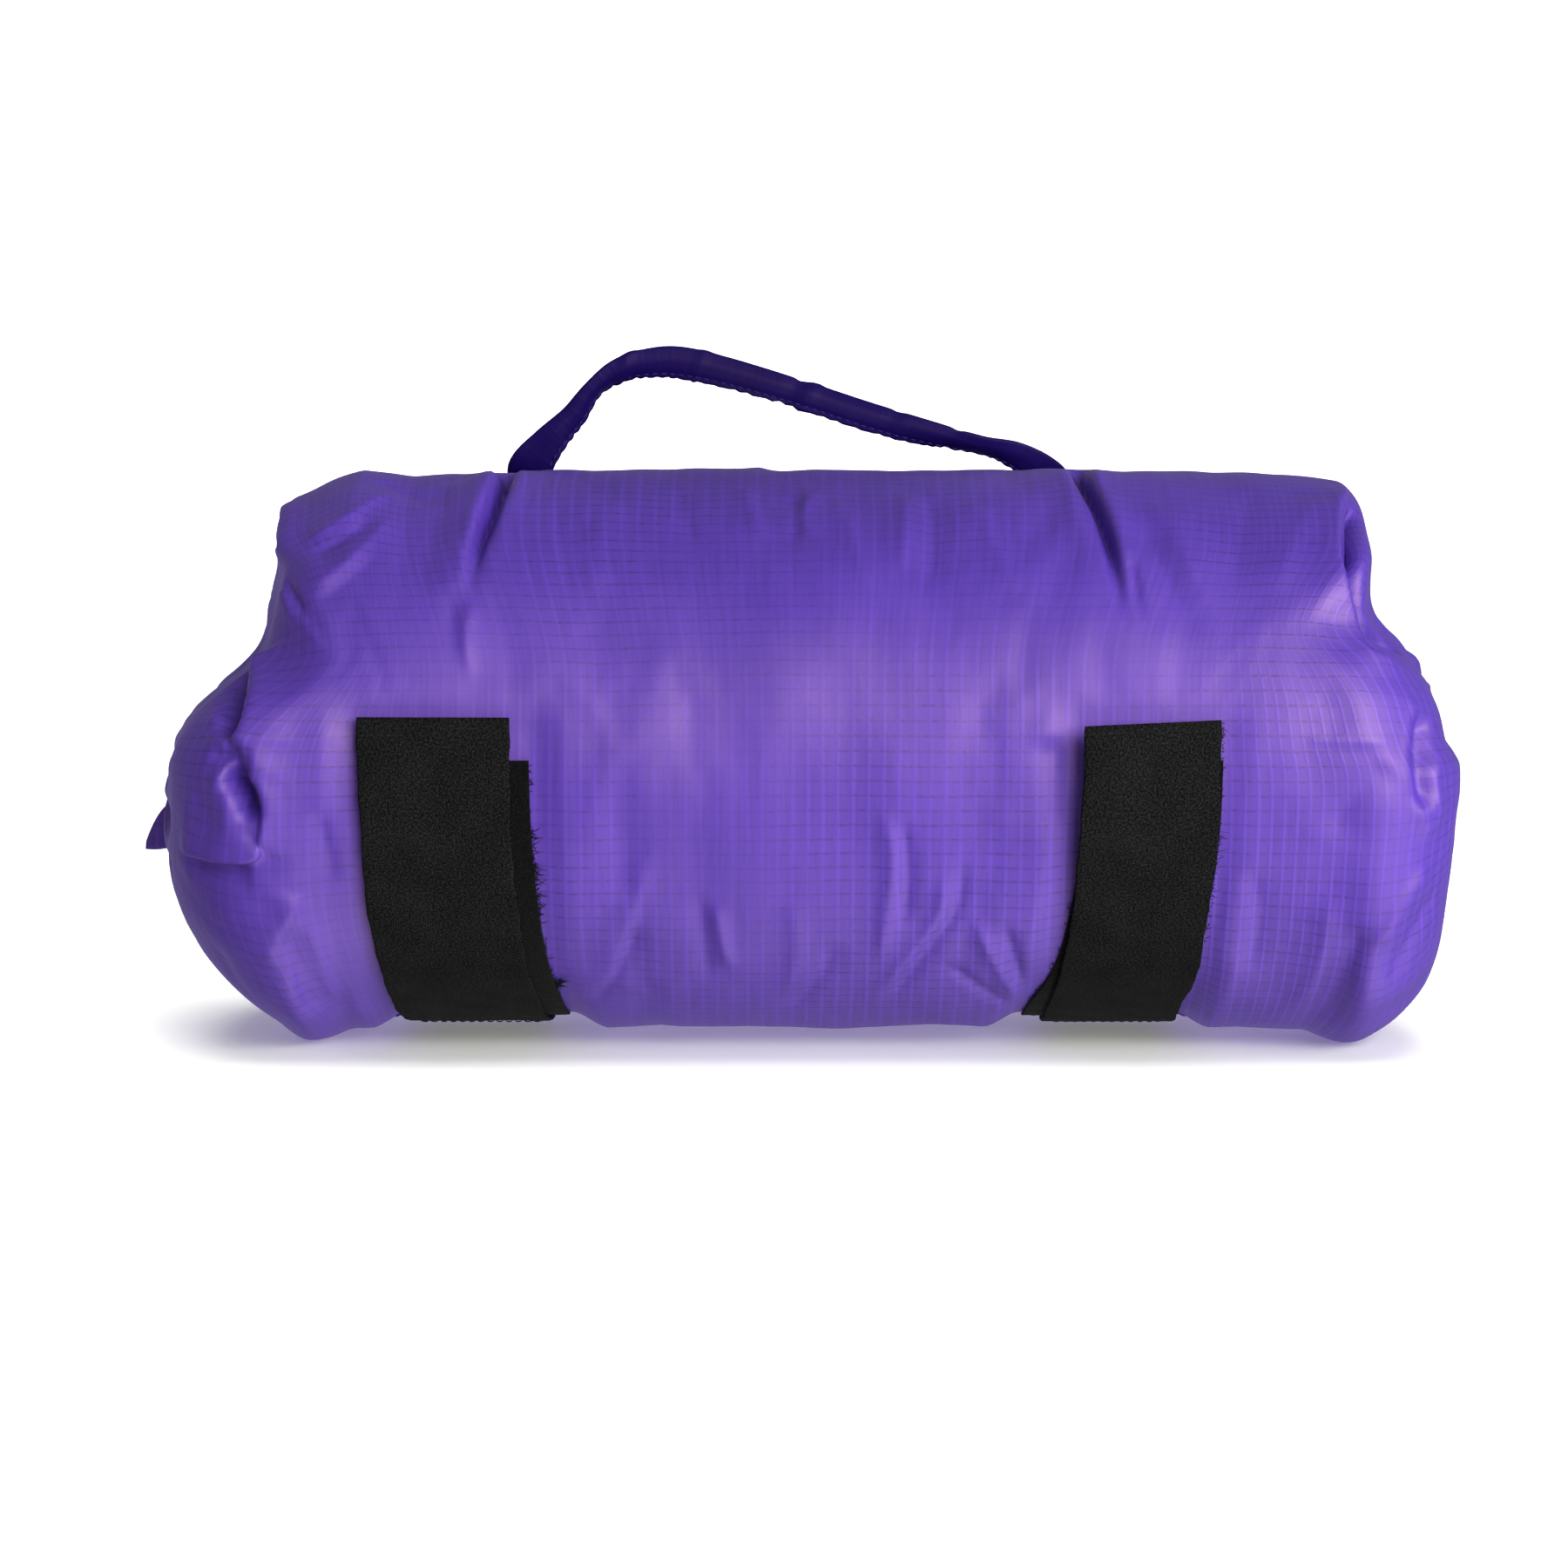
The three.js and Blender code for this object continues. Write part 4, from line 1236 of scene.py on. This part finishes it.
def add_handle():
    middle, across, outward, width, reached = handle_frames()
    rng = np.random.default_rng(11)
    loose = smoothstep(reached, 38, 55) * (1 - smoothstep(reached, reached[-1] - 48, reached[-1] - 30))
    pucker_at = np.cumsum(rng.uniform(3.0, 5.5, 200))
    pucker = np.zeros_like(reached)
    for at in pucker_at[pucker_at < reached[-1]]:
        pucker += rng.uniform(0.5, 1.0) * np.exp(-(((reached - at) / 0.9) ** 2))
    count = 36
    turn = np.linspace(0, 2 * math.pi, count, endpoint=False)
    u = np.sign(np.cos(turn)) * np.abs(np.cos(turn)) ** 0.75  # -1 to 1 across the strip
    v = np.sign(np.sin(turn)) * np.abs(np.sin(turn)) ** 0.6  # -1 to 1 through it
    rows = []
    for i in range(len(reached)):
        half = width[i] / 2
        from_edge = (1 - u) * half  # the stitched edge is at u = 1
        groove = 0.42 * np.exp(-(((from_edge - STITCH_INSET) / 0.6) ** 2)) * np.abs(v)
        drawn_in = 0.7 * pucker[i] * loose[i] * np.exp(-from_edge / 1.4)
        dimple = 0.35 * pucker[i] * loose[i] * np.exp(-(((from_edge - 1.5) / 2.2) ** 2))
        crown = 1 + 0.25 * np.cos(u * math.pi / 2) * loose[i]
        buckle = 0.9 * loose[i] * math.sin(reached[i] / 17.0) * (1 - u**2) * 0.4
        # The strip is folded over on itself, so each face has a ridge above its middle.
        ridge = 0.9 * loose[i] * np.maximum(0, 1 - np.abs(u + 0.25) / mix(0.75, 1.25, u > -0.25))
        thick = HANDLE_FOLD / 2 * crown * mix(0.62, 0.8, loose[i]) + ridge - groove - dimple
        sideways = across[i] * (u * half - drawn_in * (u > 0))[:, None]
        rows.append(middle[i] + sideways + outward[i] * (v * thick + buckle)[:, None])
    points = np.array(rows)
    top = np.sign(outward[:, 2])[:, None] * np.sign(v)[None, :] > 0
    points = lay_tails(points, reached, np.where(top, 1.0, 0.0) * (1 - np.abs(u) ** 8 * 0.5)[None, :])
    faces = tube_faces(len(rows), count)
    uv = np.array(tube_uv(reached, u * 6)) * MM
    # The strip uses the darker copy of the ripstop, whose colours are painted shade.
    piece = make_mesh("carry_handle_strip", place(points.reshape(-1, 3)), faces, HANDLE_CLOTH_PAINTED_SHADE, uv)
    for crease_x, slope, height in HANDLE_CREASES:
        p = get_points(piece.data)
        x = (p[:, 0] - MIDDLE_X) / MM
        z = p[:, 2] / MM
        line = x - crease_x - (z - np.interp(crease_x, middle[:, 0], middle[:, 2])) * slope / 10
        amount = height * np.exp(-((line / 2.2) ** 2)) * (z > 200)
        set_points(piece.data, p + get_normals(piece.data) * (amount * MM)[:, None])
    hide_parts("carry_handle", "left_handle_foot", "right_handle_foot")
    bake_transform(piece)

    lines = []
    for face in (1, -1):
        inset = width / 2 - STITCH_INSET
        path = middle + across * inset[:, None] + outward * face * (HANDLE_FOLD / 2 - 0.35)
        on_top = (np.sign(outward[:, 2]) * face > 0).astype(float)[:, None]
        path = lay_tails(path[:, None, :], reached, on_top)[:, 0]
        lines += stitches_along(place(path), outward * face, 2.1 * MM, 0.9 * MM, 0.22 * MM)
    seam = make_threads("handle_stitching", lines, 0.42 * MM, PURPLE_THREAD)
    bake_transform(seam)
    add_handle_roots()


def add_handle_roots():
    """At each root, a cloth patch under the strip's tail and two bar tacks across it."""
    for side, x in HANDLE_ROOTS.items():
        along = np.radians(np.linspace(-134, -105, 20)) * ROLL
        across = np.linspace(-13, 13, 14)

        def patch_place(u, v, x=x):
            return x + v, math.degrees(u / ROLL)

        name = f"{side}_handle_root_patch"
        patch = make_laid(name, along, across, patch_place, PATCH_THICKNESS, SACK_CLOTH)
        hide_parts(f"{side}_handle_patch")
        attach(patch, "sack")
        lines = []
        for y in (52, 41):
            for step in np.linspace(-6, 6, 16):
                a = np.array(above_skin(x + step, y - 1.4, 2.2))
                b = np.array(above_skin(x + step + 0.5, y + 1.4, 2.2))
                arch = [(0, 0, 0.5 * math.sin(math.pi * t)) for t in (0, 0.3, 0.7, 1)]
                lines.append(place([mix(a, b, t) + rise for t, rise in zip((0, 0.3, 0.7, 1), arch)]))
        tack = make_threads(f"{side}_handle_tack", lines, 0.6 * MM, PURPLE_THREAD)
        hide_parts(f"{side}_handle_bartack")
        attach(tack, "sack")


add_handle()


# ---- Back seam and end tab ----
SEAM_ANGLE = 144.2
SEAM_STITCHES = 4.4  # how far each row lies from the seam's middle


def add_back_seam():
    """The felled seam along the back: a doubled strip of the cloth with two rows of stitches."""
    def seam_place(u, v):
        return u, SEAM_ANGLE + math.degrees(v / ROLL) + 0.35 * math.sin(u / 21)

    along = np.linspace(-169, 169, 170)
    across = np.array([-6.2, -5.9, -5.2, -4.4, -3.4, -1.2, 1.2, 3.4, 4.4, 5.2, 5.9, 6.2])
    seam = make_laid("back_seam", along, across, seam_place, 0.8, SACK_CLOTH)
    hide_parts("back_seam_binding")
    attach(seam, "sack")
    lines = []
    for v in (-SEAM_STITCHES, SEAM_STITCHES):
        path = np.array([on_skin(*seam_place(u, v), 0.7) for u in np.linspace(-168, 168, 340)])
        lines += stitches_along(path, away_from_axis(path), 2.3 * MM, 0.9 * MM, 0.3 * MM)
    stitches = make_threads("back_seam_stitching", lines, 0.42 * MM, PURPLE_THREAD)
    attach(stitches, "sack")


def add_end_tab():
    """A folded loop of narrow cloth, sewn into the gathered end, that curls down at its tip."""
    low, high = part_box("end_tab")
    root, tip, bottom, top = high.x, low.x, low.z, high.z
    middle_y, half = (low.y + high.y) / 2, (high.y - low.y) / 2
    rows, around = 22, 28
    points = []
    for r in range(rows):
        t = r / (rows - 1)
        x = mix(root + 9 * MM, tip, t)
        upper = mix(top, bottom + 2.6 * MM, t**3.4)
        lower = bottom + 2.2 * MM * (1 - t) ** 2 + 0.4 * MM * math.sin(6 * t)
        for c in range(around):
            turn = 2 * math.pi * c / around
            height, depth = math.cos(turn), math.sin(turn)
            height = math.copysign(abs(height) ** 0.5, height)
            depth = math.copysign(abs(depth) ** 0.5, depth)
            rim = 1.25 if height < -0.7 else 1.0  # thick along its lower edge, where the cloth turns over
            bend = 1.1 * MM * math.sin(2.4 * t) * math.sin(height * 1.3)
            z = (upper + lower) / 2 + (upper - lower) / 2 * height
            points.append((x, middle_y + half * depth * rim * mix(1, 0.8, t) + bend, z))
    faces = tube_faces(rows, around)
    uv = [(points[v][0], points[v][2]) for face in faces for v in face]
    tab = make_mesh("end_tab_loop", points, faces, SACK_CLOTH, np.array(uv))
    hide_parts("end_tab")
    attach(tab, "tab")
    t = np.linspace(0, 1, 20)
    y = np.full(20, middle_y - half - 0.1 * MM)
    path = np.stack([mix(root - 1 * MM, tip + 1.5 * MM, t), y, bottom + mix(3.2, 1.5, t) * MM], axis=1)
    lines = stitches_along(path, np.tile([0.0, -1.0, 0.0], (20, 1)), 1.7 * MM, 0.7 * MM, 0.25 * MM)
    stitches = make_threads("end_tab_stitching", lines, 0.4 * MM, PURPLE_THREAD)
    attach(stitches, "tab")


add_back_seam()
add_end_tab()


# ---- The load inside ----
def add_load():
    """The bundle that fills the sack, a little way under its skin."""
    points, faces = close_skin(skin_shape(40, 48)[0])
    centre = np.array([0, 0, AXIS_Z / MM])
    both = centre + (points - centre) * (0.9, 0.84, 0.84)
    load = make_mesh("packed_bundle", place(both), faces, LOAD_CLOTH)
    p = get_points(load.data)
    lumps = noise_field(p, (45, 35, 35), (5, 2, 1)) * 6 * MM
    set_points(load.data, p + get_normals(load.data) * lumps[:, None])
    add_modifier(load, "SUBSURF", levels=1, render_levels=1)
    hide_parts("packed_load")
    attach(load, "sack")


add_load()


# ---- Stage, light and camera ----
WALL_RADIUS = 3.8


def make_stage():
    """A floor, and a wall all round. Only the camera sees them, so neither throws light on the sack."""
    corners = [(x, y, 0) for y in (-4, 4) for x in (-4, 4)]
    floor = make_mesh("floor", corners, [(0, 1, 3, 2)], floor_material())
    turns = np.linspace(0, 2 * math.pi, 64, endpoint=False)
    ring = [(WALL_RADIUS * math.cos(t), WALL_RADIUS * math.sin(t)) for t in turns]
    wall_points = [(x, y, z) for z in (-0.01, 6.0) for x, y in ring]
    wall = make_mesh("backdrop", wall_points, grid_faces(2, 64, wrap=True), wall_material())
    for obj in (floor, wall):
        obj.visible_glossy = False
        obj.visible_diffuse = False
        obj.visible_shadow = False
    return floor


def add_sun(name, direction, strength, spread):
    """A distant soft light that shines along a direction; spread is its angle across, in degrees."""
    light = bpy.data.lights.new(name, "SUN")
    light.energy = strength
    light.angle = math.radians(spread)
    return place_light(light, (0, 0, 2), direction)


def place_light(light, at, direction):
    obj = bpy.data.objects.new(light.name, light)
    obj.location = at
    obj.rotation_euler = Vector(direction).to_track_quat("-Z", "Y").to_euler()
    bpy.context.scene.collection.objects.link(obj)
    return obj


def make_light(floor):
    world = bpy.data.worlds.new("studio")
    world.use_nodes = True
    background = world.node_tree.nodes["Background"]
    background.inputs["Color"].default_value = (1, 1, 1, 1)
    background.inputs["Strength"].default_value = 0.3
    bpy.context.scene.world = world
    add_sun("front_softbox", (-0.42, 0.95, -0.3), 2.4, 36)
    add_sun("low_reflector", (-0.5, 0.38, 0.88), 1.7, 70)  # what a pale table would send up
    fill = add_sun("back_reflector", (0.5, -0.85, 0.15), 2.8, 60)
    fill.visible_glossy = False
    softbox = bpy.data.lights.new("right_softbox", "AREA")
    softbox.shape = "RECTANGLE"
    softbox.size, softbox.size_y = 0.8, 0.7
    softbox.energy = 9.0
    place_light(softbox, (MIDDLE_X + 0.8, -0.75, 0.42), (-0.7, 0.75, -0.32))
    # One more lights the floor alone, which is white except in the sack's shadow.
    over = add_sun("floor_light", (0, 0.1, -1), 2.7, 44)
    lit = bpy.data.collections.new("lit_by_floor_light")
    lit.objects.link(floor)
    over.light_linking.receiver_collection = lit


def make_camera():
    camera = bpy.data.cameras.new("camera")
    camera.lens = CAMERA_LENS
    camera.sensor_width = 36
    obj = bpy.data.objects.new("camera", camera)
    obj.location = CAMERA_PLACE
    obj.rotation_euler = (CAMERA_AIM - CAMERA_PLACE).to_track_quat("-Z", "Y").to_euler()
    bpy.context.scene.collection.objects.link(obj)
    bpy.context.scene.camera = obj


make_light(make_stage())
make_camera()
bpy.context.scene.view_settings.view_transform = "Standard"
